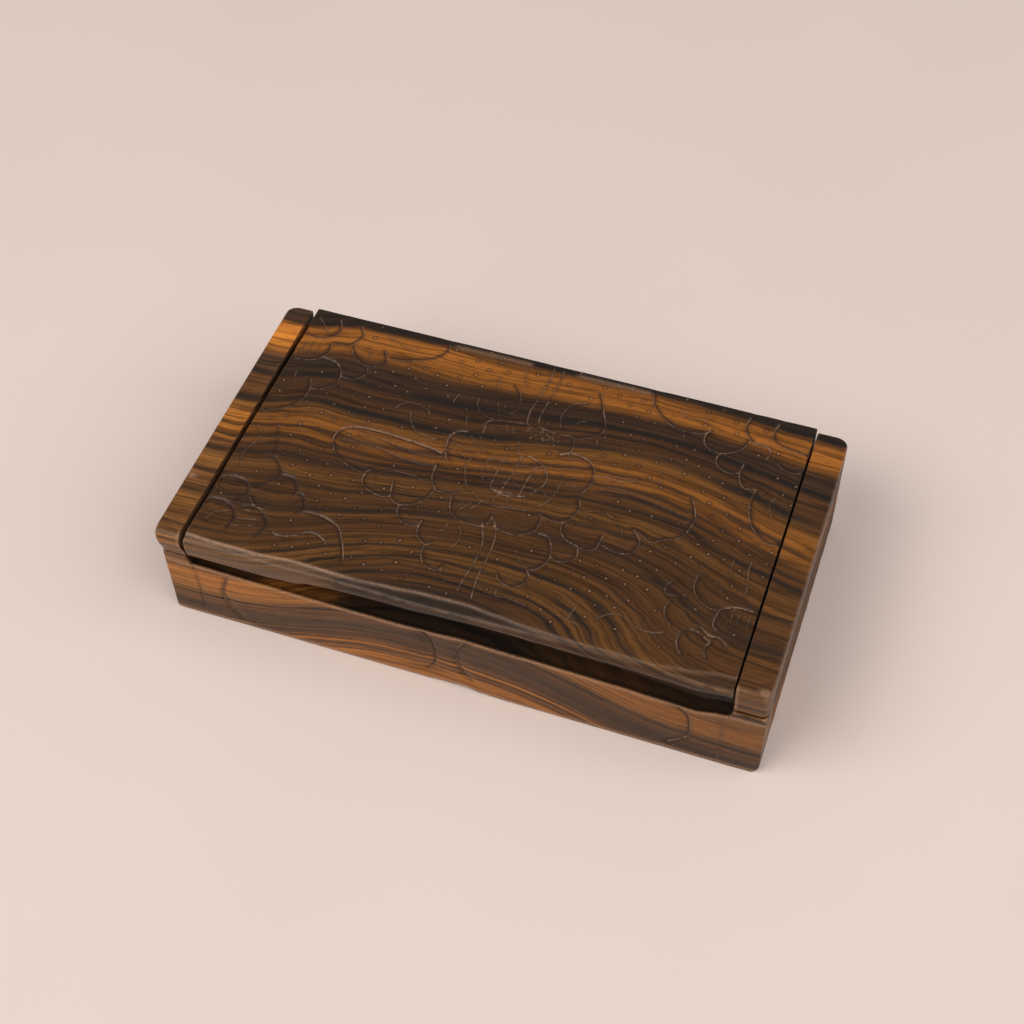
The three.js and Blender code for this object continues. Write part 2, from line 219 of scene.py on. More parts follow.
UPPER_LEAVES = [
    ("knife", "L", 74.8, 80, 75, 77.5, 77, 74.8, 80, 73.5, 82.5, 73.3),
    ("knife", "R", 84, 89, 86.5, 86, 87.7, 82, 87.6, 79.5, 86, 77),
    ("knife", "-", 81, 80, 82.3, 77), ("knife", "-", 78, 91, 78.5, 88, 79, 85),
    ("knife", "-", 68, 80, 67.3, 77, 67.5, 75.5), ("knife", "-", 85, 97, 86, 93, 87.5, 90),
    ("knife", "L", 108, 89, 105, 87.8, 103, 85.5, 102, 81.5, 102.5, 78.5, 103.5, 76.5),
    ("gouge", "R", 111, 94, 112.5, 91, 114, 87, 116.3, 81.5, 115.5, 78, 113.5, 75.7, 110, 74.2,
     108, 73.8),
    ("knife", "-", 107, 78, 108, 80.5, 110, 81.5), ("knife", "-", 117, 78, 119, 74.8),
    ("knife", "-", 115.5, 75.5, 116.5, 72),
    ("knife", "-", 50.5, 64, 50.8, 68, 53, 71, 58, 71.5, 61, 70),
    ("knife", "-", 56, 68, 57, 65, 59.5, 61.5, 62, 60.3, 68, 59.5),
    ("knife", "-", 60.5, 72, 62, 68.5), ("knife", "-", 137.5, 69, 138.8, 67, 139, 65),
]
BACK_LEFT_CORNER = [
    ("gouge", "R", 18.7, 99, 20.2, 96, 20.3, 93, 18.5, 90.5, 15, 89.2, 10, 89.3),
    ("knife", "-", 11.5, 98, 15, 94.5, 18, 91.5),
    ("gouge", "R", 26.5, 98.5, 28.7, 95, 27.8, 91.5, 25.5, 89, 21, 88.5),
    ("gouge", "R", 20.2, 87.5, 20.5, 84, 19, 81, 16, 79, 10.5, 78),
    ("knife", "-", 12, 86, 12, 80.5), ("knife", "-", 14.5, 86.5, 14.5, 81),
    ("knife", "-", 17, 86.5, 17, 82),
    ("gouge", "L", 27, 88.5, 29, 85.5, 31, 83.7, 35, 82.3, 39, 83.5, 40.2, 86, 38.5, 90),
    ("knife", "-", 32.5, 89.8, 34.3, 87.5, 34.2, 86.5),
    ("gouge", "R", 20.3, 81.3, 25, 80.5, 28, 77, 28.5, 73, 27.3, 70.5, 24, 68, 21.5, 67.5),
    ("knife", "-", 15, 75, 14.3, 72, 15.5, 68),
    ("gouge", "R", 35.5, 81.5, 36, 79, 34.5, 76.5, 32, 75, 28.7, 75.5),
    ("gouge", "R", 20, 71, 21.3, 66, 20.5, 61.5, 18, 58, 14, 55.5, 12, 54.5),
    ("knife", "-", 10.5, 54, 13, 53, 15, 51.5),
    ("gouge", "R", 57.5, 99.5, 57.5, 96, 55, 92.5, 50, 90, 45, 88.2, 41.5, 87.8),
    ("knife", "-", 36, 97, 40, 95.5, 44, 94, 48, 94.5),
]
FRONT_LEFT_CORNER = [
    ("deep", "-", 18.5, 49, 20.5, 44, 21.5, 40, 22, 37.5),
    ("deep", "R", 21, 37, 23, 37, 26, 34, 27.3, 31, 25.5, 28, 22.5, 24.3),
    ("knife", "-", 12, 47.5, 14, 45, 14.6, 42, 13.5, 38.5, 12.5, 35.5, 13, 33, 14, 30.8),
    ("deep", "R", 9.7, 22.5, 11, 25, 14, 26, 18, 25.3, 20.5, 22.8, 20.3, 20, 18.5, 17.5),
    ("deep", "R", 9.7, 14.5, 11.5, 16, 16, 16, 19.5, 14, 21, 10.5, 20.5, 7),
    ("knife", "-", 13, 7.5, 14, 10.5, 16, 12, 18.5, 13),
    ("deep", "R", 21.5, 16, 25, 17, 28.5, 15.3, 30.8, 13, 31.3, 9.5, 30, 6.5),
    ("knife", "-", 22, 14.5, 28, 15.2), ("knife", "-", 22, 11, 29, 12.5), ("knife", "-", 21, 8, 28, 10),
    ("deep", "R", 28, 31.3, 32, 31, 34.5, 27.5, 34.7, 25.5),
    ("deep", "R", 34.7, 26, 37.5, 25.5, 39.5, 22, 40, 19.5, 38, 18.5),
    ("gouge", "L", 22, 20, 24, 17.8, 27.5, 17, 28.5, 18.5),
    ("gouge", "R", 40, 20, 46, 20, 52, 17.8, 55.5, 13, 57.5, 9, 58.5, 6.5),
    ("gouge", "-", 34, 9.5, 37, 9, 41, 10.5, 44, 12.8, 47, 13, 50, 11.8, 51.5, 10.2),
]
BACK_RIGHT_CORNER = [
    ("gouge", "L", 127, 99.5, 127.8, 96, 130, 93, 133, 90.5, 137, 88.2, 141, 87.7, 145, 88.2,
     147.5, 89.5),
    ("knife", "-", 137, 94.7, 141, 93, 145, 94, 147.5, 95),
    ("gouge", "L", 148, 90.5, 147, 88, 147.5, 85, 149.5, 83, 153, 82.3, 157, 84, 159.5, 86.5,
     160.5, 90),
    ("gouge", "L", 153, 82, 152.8, 79.5, 154, 77, 157, 75.5, 161, 76.3),
    ("gouge", "L", 158.8, 99.5, 158, 96, 158.8, 93, 160.5, 91, 161.5, 89.5),
    ("gouge", "-", 161.5, 89.5, 167, 89, 167.7, 86, 167.3, 84),
    ("gouge", "L", 167.8, 99.5, 167, 96, 168, 92.5, 171, 91, 175, 90.3, 179, 89.5),
    ("gouge", "L", 170.5, 84, 173.5, 82, 177, 81.5, 179.5, 83),
    ("gouge", "L", 161.3, 80, 161, 76.5, 162, 73, 164, 71, 167.5, 72),
    ("gouge", "L", 167.3, 71, 167, 66, 168, 61, 170, 57, 173, 54, 176, 52.5, 179.5, 52.8),
    ("knife", "-", 174, 70, 172.7, 67, 174.3, 62),
]
FRONT_RIGHT_CORNER = [
    ("gouge", "L", 159.5, 34, 159.2, 31, 160.5, 28, 163, 25.5, 166, 24.3, 168.5, 24.5),
    ("knife", "-", 165, 33.5, 166.8, 31.5, 167, 30.5),
    ("knife", "L", 153, 30, 151.8, 28, 151.8, 26, 153, 25, 155.5, 25.5),
    ("gouge", "L", 168.5, 24.3, 168, 21, 168.3, 18.5, 170, 17.5),
    ("gouge", "R", 169, 25, 173, 27, 178, 27),
    ("knife", "-", 172.5, 21.5, 172.5, 26), ("knife", "-", 174.5, 21, 174.5, 26),
    ("knife", "-", 177.5, 21, 177.5, 25.5),
    ("knife", "L", 154, 22, 153.5, 20, 154.5, 17, 156.5, 15),
    ("gouge", "L", 159.8, 13, 159.8, 10, 161, 7.5, 162, 6.5),
    ("gouge", "R", 162, 15.3, 165, 15, 168, 13.3, 168.7, 12.5),
    ("gouge", "L", 169, 13, 168, 10.5, 168.8, 7.5),
    ("gouge", "R", 165, 17, 168, 15, 171, 15, 173.5, 13),
    ("knife", "-", 136, 10, 138, 12.3, 141, 13.5, 144, 13, 147, 11.3, 150, 10.5, 154, 11, 155.5, 12),
    ("knife", "-", 168, 43, 168, 39, 169, 36), ("knife", "-", 173, 44, 173, 40, 174, 36, 174.3, 31),
]
# Cuts on the tray's front face: distance from the left end, and height.
FRONT_FACE = [
    ("knife", "-", 9.8, 26, 10.5, 14, 10.2, 2), ("knife", "-", 177.5, 25, 177.7, 14, 177.4, 2),
    ("gouge", "L", 20, 22.5, 18, 15, 19, 9, 22, 4),
    ("gouge", "R", 85.5, 24.3, 88, 21, 89, 15, 88.5, 9, 86, 5),
    ("gouge", "L", 98.5, 24.5, 96, 20, 95.5, 14, 97, 9, 99.5, 6),
    ("gouge", "R", 164, 24, 167.5, 20, 168.3, 14, 167.5, 9, 162, 3.5),
]
LID_CUTS = (FLOWER + RAYS + SEED_HEAD + STEMS + LEFT_LEAF + RIGHT_LEAF + UPPER_LEAVES
            + BACK_LEFT_CORNER + FRONT_LEFT_CORNER + BACK_RIGHT_CORNER + FRONT_RIGHT_CORNER)

# What each tool leaves: depth and half width of its V, how deep and how far the surface beside it
# slopes down to it, and how much pale wax its groove holds.
TOOLS = {
    "knife": {"depth": 0.26, "half": 0.32, "relief": 0.25, "reach": 1.4, "wax": 0.45},
    "gouge": {"depth": 0.42, "half": 0.42, "relief": 0.72, "reach": 2.3, "wax": 0.85},
    "deep": {"depth": 0.5, "half": 0.6, "relief": 0.75, "reach": 2.8, "wax": 0.15},
    "ray": {"depth": 0.3, "half": 0.55, "relief": 0.1, "reach": 1.0, "wax": 0.35},
    "rib": {"depth": 0.45, "half": 0.95, "relief": 0.15, "reach": 1.5, "wax": 0.0},
}
CUT_STEP = 0.4


# ------------------------------------------------------------------ curves and sections
def ease(t):
    t = np.clip(t, 0, 1)
    return t * t * (3 - 2 * t)


def bell(offset, half):
    """One in the middle and dying away to either side."""
    return np.exp(-((offset / half) ** 2))


def along(stations, place):
    """The value at a place between given stations, eased from each to the next."""
    places = np.array([station[0] for station in stations], float)
    values = np.array([station[1] for station in stations], float)
    place = np.clip(place, places[0], places[-1])
    index = np.clip(np.searchsorted(places, place) - 1, 0, len(places) - 2)
    part = ease((place - places[index]) / (places[index + 1] - places[index]))
    return values[index] + part * (values[index + 1] - values[index])


CURVE_STEPS = 10


def curve_through(points):
    """A Catmull-Rom curve through the points, with a few steps to each stretch."""
    points = np.asarray(points, float)
    padded = np.vstack([2 * points[0] - points[1], points, 2 * points[-1] - points[-2]])
    t = np.linspace(0, 1, CURVE_STEPS, endpoint=False)[:, None]
    stretches = []
    for a, b, c, d in zip(padded, padded[1:], padded[2:], padded[3:]):
        bend = (2 * a - 5 * b + 4 * c - d) * t**2 + (3 * b - a - 3 * c + d) * t**3
        stretches.append(b + 0.5 * ((c - a) * t + bend))
    return np.vstack(stretches + [points[-1:]])


def spaced(line, count):
    """The same line drawn again with evenly spaced points."""
    length = np.concatenate([[0], np.cumsum(np.linalg.norm(np.diff(line, axis=0), axis=1))])
    places = np.linspace(0, length[-1], count)
    return np.column_stack([np.interp(places, length, line[:, k]) for k in range(line.shape[1])])


def arc(centre, radius, start, end, count):
    angles = np.radians(np.linspace(start, end, count))
    return np.column_stack([centre[0] + radius * np.cos(angles), centre[1] + radius * np.sin(angles)])


# ------------------------------------------------------------------ meshes
SHARP_ANGLE = 40


def placed(name, data):
    """A new object of the scene, at the origin."""
    made = bpy.data.objects.new(name, data)
    bpy.context.scene.collection.objects.link(made)
    return made


def new_piece(name, vertices, faces):
    mesh = bpy.data.meshes.new(name)
    mesh.from_pydata((np.asarray(vertices) * MM).tolist(), [], faces)
    mesh.update()
    return placed(name, mesh)


def shade(piece):
    piece.data.shade_smooth()
    piece.data.set_sharp_from_angle(angle=math.radians(SHARP_ANGLE))


def point_outwards(piece):
    work = bmesh.new()
    work.from_mesh(piece.data)
    bmesh.ops.recalc_face_normals(work, faces=work.faces)
    work.to_mesh(piece.data)
    work.free()


def grid_faces(rows, columns, wrap):
    """Quads of a grid of points held row after row; with wrap the last column meets the first."""
    last = columns if wrap else columns - 1
    row, column = np.meshgrid(np.arange(rows - 1), np.arange(last), indexing="ij")
    after = (column + 1) % columns
    quads = np.stack([row * columns + column, row * columns + after,
                      (row + 1) * columns + after, (row + 1) * columns + column], axis=-1)
    return quads.reshape(-1, 4).tolist()


def close_end(vertices, faces, ring, bore_depth):
    """Closes one end of a loft; with a bore depth it leaves a blind hole about the hinge axis."""
    if not bore_depth:
        faces.append(ring)
        return
    x = vertices[ring[0]][0]
    hole = arc((HINGE_Y, HINGE_Z), PIN_BORE, 0, 345, 24)
    mouth = list(range(len(vertices), len(vertices) + len(hole)))
    vertices.extend((x, y, z) for y, z in hole)
    outer = [Vector((vertices[k][1], vertices[k][2], 0)) for k in ring]
    inner = [Vector((y, z, 0)) for y, z in hole]
    index = ring + mouth
    faces.extend([index[k] for k in face] for face in geometry.tessellate_polygon([outer, inner]))
    foot = list(range(len(vertices), len(vertices) + len(hole)))
    vertices.extend((x + bore_depth, y, z) for y, z in hole)
    for k in range(len(hole)):
        after = (k + 1) % len(hole)
        faces.append([mouth[k], mouth[after], foot[after], foot[k]])
    faces.append(foot)


END_BAND = 0.25


def loft(name, stations, section, bores=(0, 0)):
    """A closed piece whose section, a ring of (y, z), is given at each station along X.

    Each end has a narrow band round it, so that what is stored at its edge does not spread over it.
    """
    rings = [section(x) for x in stations]
    size = len(rings[0])
    vertices = [(x, y, z) for x, ring in zip(stations, rings) for y, z in ring]
    faces = grid_faces(len(stations), size, wrap=True)
    skin = len(vertices)
    for x, ring, start, bore in ((stations[0], rings[0], 0, bores[0]),
                                 (stations[-1], rings[-1], skin - size, bores[1])):
        inner = list(range(len(vertices), len(vertices) + size))
        vertices.extend((x, y, z) for y, z in drawn_in(ring, END_BAND))
        for k in range(size):
            after = (k + 1) % size
            faces.append([start + k, start + after, inner[after], inner[k]])
        close_end(vertices, faces, inner, bore)
    piece = new_piece(name, vertices, faces)
    point_outwards(piece)
    store(piece, "end_face", np.arange(len(vertices)) >= skin)
    return piece


def drawn_in(ring, inset):
    """A ring of points moved inwards along its own normals."""
    tangent = np.roll(ring, -1, axis=0) - np.roll(ring, 1, axis=0)
    length = np.linalg.norm(tangent, axis=1, keepdims=True)
    normal = np.column_stack([tangent[:, 1], -tangent[:, 0]]) / np.maximum(length, 1e-6)
    area = np.sum(ring[:, 0] * np.roll(ring[:, 1], -1) - np.roll(ring[:, 0], -1) * ring[:, 1])
    return ring - normal * inset * np.sign(area)


def round_over(distance, radius):
    """How far a rounded edge has dropped, at a distance in from its end."""
    inside = np.clip(radius - distance, 0, radius)
    return radius - np.sqrt(radius**2 - inside**2)


def end_stations(low, high, spacing, radius):
    """Stations between two ends, closer together where the edges are rounded."""
    fine = radius * np.array([0, 0.1, 0.3, 0.6])
    middle = np.linspace(low + radius, high - radius, max(2, int((high - low) / spacing)))
    return np.concatenate([low + fine, middle, high - fine[::-1]])


def get_points(piece):
    points = np.empty(len(piece.data.vertices) * 3)
    piece.data.vertices.foreach_get("co", points)
    return points.reshape(-1, 3) / MM


def set_points(piece, points):
    piece.data.vertices.foreach_set("co", (points * MM).ravel())
    piece.data.update()


def kept_values(piece, name):
    values = np.empty(len(piece.data.vertices), np.float32)
    piece.data.attributes[name].data.foreach_get("value", values)
    return values


def store(piece, name, values):
    """Keeps one number for each point of a piece under a name that materials and trees can read."""
    layer = piece.data.attributes.get(name) or piece.data.attributes.new(name, "FLOAT", "POINT")
    layer.data.foreach_set("value", np.asarray(values, np.float32))


# ------------------------------------------------------------------ lid
LID_EDGE = 0.35
LID_SPACING = 0.5
NOSE_POINTS = 56
BACK_HEEL = 0.9
# Height under which the nose is painted dark as shade, wear and painted highlight along its crest, and
# worn strips at the back with the line they lie on. Half widths: of a strip, of the crest's rubbed and
# highlit line, and of a crack.
NOSE_UNDERSIDE = [(9, 30.6), (34, 30.6), (56, 32.6), (74, 34.0), (100, 35.1), (180, 34.9)]
CREST_WEAR_AND_HIGHLIGHT = [(9, 1.0), (55, 0.9), (66, 0.35), (80, 0.6), (98, 0.5), (106, 0.25), (180, 0.2)]
BACK_STRIPS = [(58, 87), (100, 127)]
STRIP_BEHIND = 99.2
STRIP_HALF = 0.8
CREST_LINE = 0.42
CRACK_HALF = 0.4
# Where the painted sheen on the nose ends, and how far back the painted shade goes under the lid.
PAINTED_NOSE_SHEEN_END = 62
UNDER_LID_SHADE_REACH = 18
# Dark cracks just under the crest: (start, end, how far under), and how dark the nose is: dark wood and
# painted shade.
CRACKS = [(79, 96, 0.8), (112, 119, 0.6)]
NOSE_DARK_WOOD_AND_SHADE = [(9, 0), (52, 0.05), (64, 0.72), (97, 0.66), (108, 0.35), (150, 0.42), (180, 0.5)]
# Where carving runs out over the lid's left edge: (distance from the front, depth, length).
EDGE_NOTCHES = [(21, 0.55, 6), (79, 0.35, 3), (88.5, 0.4, 3)]
NOTCH_BOTTOM = 33
NOTCH_WIDTH = 5


def lid_nose(x):
    plan_x = x - LEFT
    scoop = along(SCOOP_STATIONS, plan_x)
    crest = along(CREST_STATIONS, plan_x)
    full, cut = np.array(FULL_NOSE), np.array(SCOOPED_NOSE)
    points = full + scoop * (cut - full)
    points[-1, 0] = min(points[-1, 0], crest - 1.0)
    band = curve_through(np.vstack([points, (crest - 0.35, CREST_HEIGHT - 0.42)]))
    over = [(crest, CREST_HEIGHT), (crest + 0.5, CREST_HEIGHT + 0.12), (crest + 1.6, TOP - 0.08),
            (crest + 3, TOP - 0.02), (SHOULDER, TOP)]
    return spaced(np.vstack([band, over]), NOSE_POINTS) + (FRONT, 0)


def lid_section(x):
    heel = (HINGE_Y + HINGE_RADIUS - BACK_HEEL, TOP - BACK_HEEL)
    nose = lid_nose(x)
    run = heel[0] - (FRONT + SHOULDER)
    top = spaced(np.array([nose[-1], (heel[0], TOP)]), int(run / LID_SPACING))[1:]
    back = np.vstack([
        arc(heel, BACK_HEEL, 90, 0, 10)[1:],
        arc((HINGE_Y, HINGE_Z), HINGE_RADIUS, 0, -90, 12),
    ])
    under = spaced(np.array([back[-1], nose[0]]), 24)[1:-1]
    ring = np.vstack([nose, top, back, under])
    ends = min(x - LID_LOW[0], LID_HIGH[0] - x)
    return drawn_in(ring, round_over(ends, LID_EDGE))


def lid_mesh():
    stations = end_stations(LID_LOW[0], LID_HIGH[0], LID_SPACING, LID_EDGE)
    piece = loft("lid_carved", stations, lid_section, (PIN_IN_LID, -PIN_IN_LID))
    points = get_points(piece)
    from_front = points[:, 1] - FRONT
    near_left = np.clip(1 - (points[:, 0] - LID_LOW[0]) / NOTCH_WIDTH, 0, 1)
    for place, depth, length in EDGE_NOTCHES:
        notch = depth * bell(from_front - place, length)
        points[:, 0] += notch * near_left * ease((points[:, 2] - NOTCH_BOTTOM) / 6)
    set_points(piece, points)
    flat_top = ease((points[:, 2] - TOP + 1.0) / 0.8) * ease((from_front - 2.5) / 2.5)
    store(piece, "carve", flat_top)
    x = points[:, 0] - LEFT
    from_crest = np.hypot(from_front - along(CREST_STATIONS, x), points[:, 2] - CREST_HEIGHT)
    worn_strip = np.zeros(len(x))
    for start, end in BACK_STRIPS:
        inside = ease((x - start) / 3) * ease((end - x) / 2)
        worn_strip += inside * bell(from_front - STRIP_BEHIND, STRIP_HALF)
    worn_strip *= points[:, 2] > TOP - 3
    # The crest's pale line is worn wood and also a painted highlight.
    crest_wear_and_highlight = along(CREST_WEAR_AND_HIGHLIGHT, x) * bell(from_crest, CREST_LINE)
    # Painted sheen: the left part of the nose below the crest is made paler with the rubbed colour.
    painted_nose_sheen = ease((along(CREST_STATIONS, x) - from_front) / 0.7)
    painted_nose_sheen *= 0.24 * ease((PAINTED_NOSE_SHEEN_END - x) / 14)
    store(piece, "arris", np.maximum(np.maximum(crest_wear_and_highlight, painted_nose_sheen), 0.55 * worn_strip))
    ends = np.minimum(points[:, 0] - LID_LOW[0], LID_HIGH[0] - points[:, 0])
    # Painted shade under the nose and back under the lid, and in the narrow gaps at the ends, which also
    # hold grime.
    painted_shade_under_nose = ease((along(NOSE_UNDERSIDE, x) - points[:, 2]) / 0.8) * (from_front > -0.7)
    painted_shade_under_nose *= ease((UNDER_LID_SHADE_REACH - from_front) / 8)
    gap_shade_and_grime = ease((0.25 - ends) / 0.2) * (1 - 0.3 * kept_values(piece, "end_face"))
    painted_shade_and_dark_marks = np.maximum(gap_shade_and_grime, 0.75 * painted_shade_under_nose)
    # The nose band under the crest is painted darker: dark heartwood and painted shade.
    under_crest = ease((along(CREST_STATIONS, x) - 0.5 - from_front) / 0.7)
    painted_shade_and_dark_marks = np.maximum(painted_shade_and_dark_marks, along(NOSE_DARK_WOOD_AND_SHADE, x) * under_crest)
    for start, end, under in CRACKS:
        inside = ease((x - start) / 3) * ease((end - x) / 3)
        crack = np.hypot(from_front - along(CREST_STATIONS, x) + under, points[:, 2] - CREST_HEIGHT + 0.6)
        painted_shade_and_dark_marks = np.maximum(painted_shade_and_dark_marks, inside * bell(crack, CRACK_HALF))
    store(piece, "painted_shade_and_dark_marks", painted_shade_and_dark_marks)
    return piece


# ------------------------------------------------------------------ end caps
CAP_EDGE = 0.6
CAP_SPACING = 0.55
CAP_HEEL = 0.8
CAP_INNER_EDGE = 0.2
# Sections close to the outer face, where its corners in plan are rounded.
CORNER_STEPS = [0, 0.06, 0.2, 0.4, 0.7, 1.1, 1.6, 2.2, 2.9]
# Half width of the rubbed lines on a cap's front, and of the chip in its top: along, front to back.
CAP_LINE = 0.5
CHIP_HALF = (1.6, 1.0)


def bezier(a, b, c, d, count):
    t = np.linspace(0, 1, count)[:, None]
    a, b, c, d = (np.array(point, float) for point in (a, b, c, d))
    return (1 - t)**3 * a + 3 * t * (1 - t)**2 * b + 3 * t**2 * (1 - t) * c + t**3 * d


def round_nose():
    over = bezier((FRONT + 2.6, TOP), (FRONT - 0.4, TOP), (NOSE, TOP - 0.6), (NOSE, TOP - 3.2), 14)
    low = bezier((NOSE, TOP - 3.2), (NOSE, TOP - 6.5), (FRONT, SLAB_BOTTOM + 2.4),
                 (FRONT, SLAB_BOTTOM + SEAM_BEVEL), 18)
    return np.vstack([over, low[1:]])


def square_nose():
    shoulder = RIGHT_CAP_LOW[1]
    over = bezier((shoulder + 2, TOP), (shoulder + 0.6, TOP), (shoulder, TOP - 0.6),
                  (shoulder, TOP - 2), 10)
    low = bezier((shoulder, TOP - 2), (shoulder, TOP - 5), (FRONT, SLAB_BOTTOM + 4),
                 (FRONT, SLAB_BOTTOM + SEAM_BEVEL), 18)
    return np.vstack([over, low[1:]])


def cap_ring(nose):
    """The cap's section, from the back of its top over the nose to the seam and round again."""
    heel = CAP_HEEL
    top = spaced(np.array([(BACK - heel, TOP), nose[0]]), int(DEPTH_MM / CAP_SPACING))
    under = spaced(np.array([(FRONT + SEAM_BEVEL, SLAB_BOTTOM), (BACK - SEAM_BEVEL, SLAB_BOTTOM)]), 60)
    back = spaced(np.array([(BACK, SLAB_BOTTOM + SEAM_BEVEL), (BACK, TOP - heel)]), 18)
    corner = arc((BACK - heel, TOP - heel), heel, 0, 90, 7)[1:-1]
    return np.vstack([top[:-1], nose, under, back, corner])


def end_cap(name, low, high, nose, outer, plan_radii, bores, chip_place):
    """A cap lofted along X, rounded in plan at its outer face only.

    The chip's place is its distance from the outer face and behind the front.
    """
    ring = cap_ring(nose)
    middle = (FRONT + BACK) / 2

    def section(x):
        from_outer = abs(x - outer)
        front_in, back_in = (round_over(from_outer, radius) for radius in plan_radii)
        drawn = drawn_in(ring, round_over(from_outer, CAP_EDGE))
        inner_end = min(x - low, high - x) if from_outer > 1 else 1
        drawn = drawn_in(drawn, round_over(inner_end, CAP_INNER_EDGE))
        share = (drawn[:, 0] - middle) / (DEPTH_MM / 2)
        shift = np.where(share < 0, front_in, -back_in) * np.clip(np.abs(share) * 12 - 11, 0, 1)
        return drawn + np.column_stack([shift, np.zeros(len(shift))])

    spread = np.linspace(3.6, high - low - 0.2, int((high - low) / CAP_SPACING))
    steps = np.concatenate([CORNER_STEPS, spread, [high - low - 0.1, high - low]])
    stations = low + steps if outer == low else high - steps[::-1]
    piece = loft(name, stations, section, bores)
    points = get_points(piece)
    from_outer = np.abs(points[:, 0] - outer)
    behind = points[:, 1] - FRONT
    # Painted shade, with some grime, in the narrow gap at the cap's inner end.
    gap_shade_and_grime = ease((from_outer - (high - low) + 0.25) / 0.2)
    store(piece, "painted_shade_and_dark_marks", gap_shade_and_grime * (1 - 0.3 * kept_values(piece, "end_face")))
    from_seam = points[:, 2] - SLAB_BOTTOM - 1
    from_inner = from_outer - (high - low) + 0.5
    by_seam = bell(from_seam, CAP_LINE) * (behind < 1)
    inner_arris = bell(from_inner, CAP_LINE) * (behind < 0.8)
    chip = np.hypot((from_outer - chip_place[0]) / CHIP_HALF[0],
                    (behind - chip_place[1]) / CHIP_HALF[1])
    chipped = bell(chip, 1) * (points[:, 2] > TOP - 2)
    store(piece, "arris", np.maximum(np.maximum(by_seam * 0.5, inner_arris * 0.6), chipped))
    return piece


def left_end_cap():
    return end_cap("left_end_cap_wood", LEFT_CAP_LOW[0], LEFT_CAP_HIGH[0], round_nose(),
                   LEFT_CAP_LOW[0], (1.0, 4), (0, -PIN_IN_CAP), (1.5, 22))


def right_end_cap():
    return end_cap("right_end_cap_wood", RIGHT_CAP_LOW[0], RIGHT_CAP_HIGH[0], square_nose(),
                   RIGHT_CAP_HIGH[0], (2.2, 4), (PIN_IN_CAP, 0), (2, 1))


# ------------------------------------------------------------------ tray
TRAY_SPACING = 0.6
FOOT_EDGE = 0.8
INNER_EDGE = 0.5
FLOOR_FILLET = 2.5
# Where the tray's rings lie: shares of the way out across its underside and across its floor, and
# distances behind the front bevel across the rim and the hollow.
UNDERSIDE_SHARES = [0.1, 0.4, 0.7, 0.93]
RIM_STEPS = [0, 0.25, 0.6, 1.0, 1.4, 1.9, 2.5, 3.2, 4, 5, 6, 6.6, 7.1, 7.5, 7.9, 8.3, 8.7]
FLOOR_SHARES = [0.96, 0.88, 0.78, 0.66, 0.54, 0.42, 0.3, 0.18, 0.06]
# Half widths of the rubbed and highlit line along the lip, of the one over the foot, and of the painted
# shade under it.
LIP_LINE = 0.75
FOOT_LINE = 0.6
FOOT_LINE_HEIGHT = 1.1
FOOT_SHADE_HALF = 0.35


def rounded_loop(low, high, radii, counts):
    """Points round a rectangle, side after side: straight runs and corner arcs with set counts."""
    (x0, y0), (x1, y1) = low, high
    front, back = radii
    straight, across, corner = counts
    lines = [
        np.column_stack([np.linspace(x0 + front, x1 - front, straight), np.full(straight, y0)]),
        arc((x1 - front, y0 + front), front, -90, 0, corner),
        np.column_stack([np.full(across, x1), np.linspace(y0 + front, y1 - back, across)]),
        arc((x1 - back, y1 - back), back, 0, 90, corner),
        np.column_stack([np.linspace(x1 - back, x0 + back, straight), np.full(straight, y1)]),
        arc((x0 + back, y1 - back), back, 90, 180, corner),
        np.column_stack([np.full(across, x0), np.linspace(y1 - back, y0 + front, across)]),
        arc((x0 + front, y0 + front), front, 180, 270, corner),
    ]
    return np.vstack([line[:-1] for line in lines])


def rim_height(points):
    """Height of the tray's upper edge: a flat rim, hollowed in front between the end caps."""
    x, behind = points[:, 0], points[:, 1] - FRONT
    lip = along(LIP_STATIONS, x - LEFT)
    part = (behind - 0.4) / (COVE_DEPTH - 0.4)
    cove = lip - COVE_SINK * ease(part / 0.3) + (RIM - lip + COVE_SINK) * ease((part - 0.75) / 0.25)
    past_left = ease((x - LEFT_CAP_HIGH[0] + 0.2) / 1.1)
    past_right = ease((RIGHT_CAP_LOW[0] + 0.2 - x) / 1.1)
    return RIM + past_left * past_right * (np.minimum(cove, RIM) - RIM)


def front_swell(x):
    return along(SWELL_STATIONS, x - LEFT)


def foot_height(points):
    """Lower edge of the tray's side: ragged in front, where the wood is worn and nicked."""
    in_front = ease((FRONT + 1 - points[:, 1]) / 1)
    return in_front * along(FOOT_STATIONS, points[:, 0] - LEFT)


def inside_feet(points):
    """Keeps points inside the rounded lower corners of the tray's two ends."""
    left, right = FOOT_RADII["left"], FOOT_RADII["right"]
    low_x = LEFT + round_over(points[:, 2], left)
    high_x = RIGHT - round_over(points[:, 2], right)
    points[:, 0] = np.clip(points[:, 0], low_x, high_x)
    return points


def towards(start, end, distance):
    """Plan points moved a set distance from start towards end."""
    way = end - start
    length = np.linalg.norm(way, axis=1, keepdims=True)
    return start + way / np.maximum(length, 1e-6) * np.reshape(distance, (-1, 1))


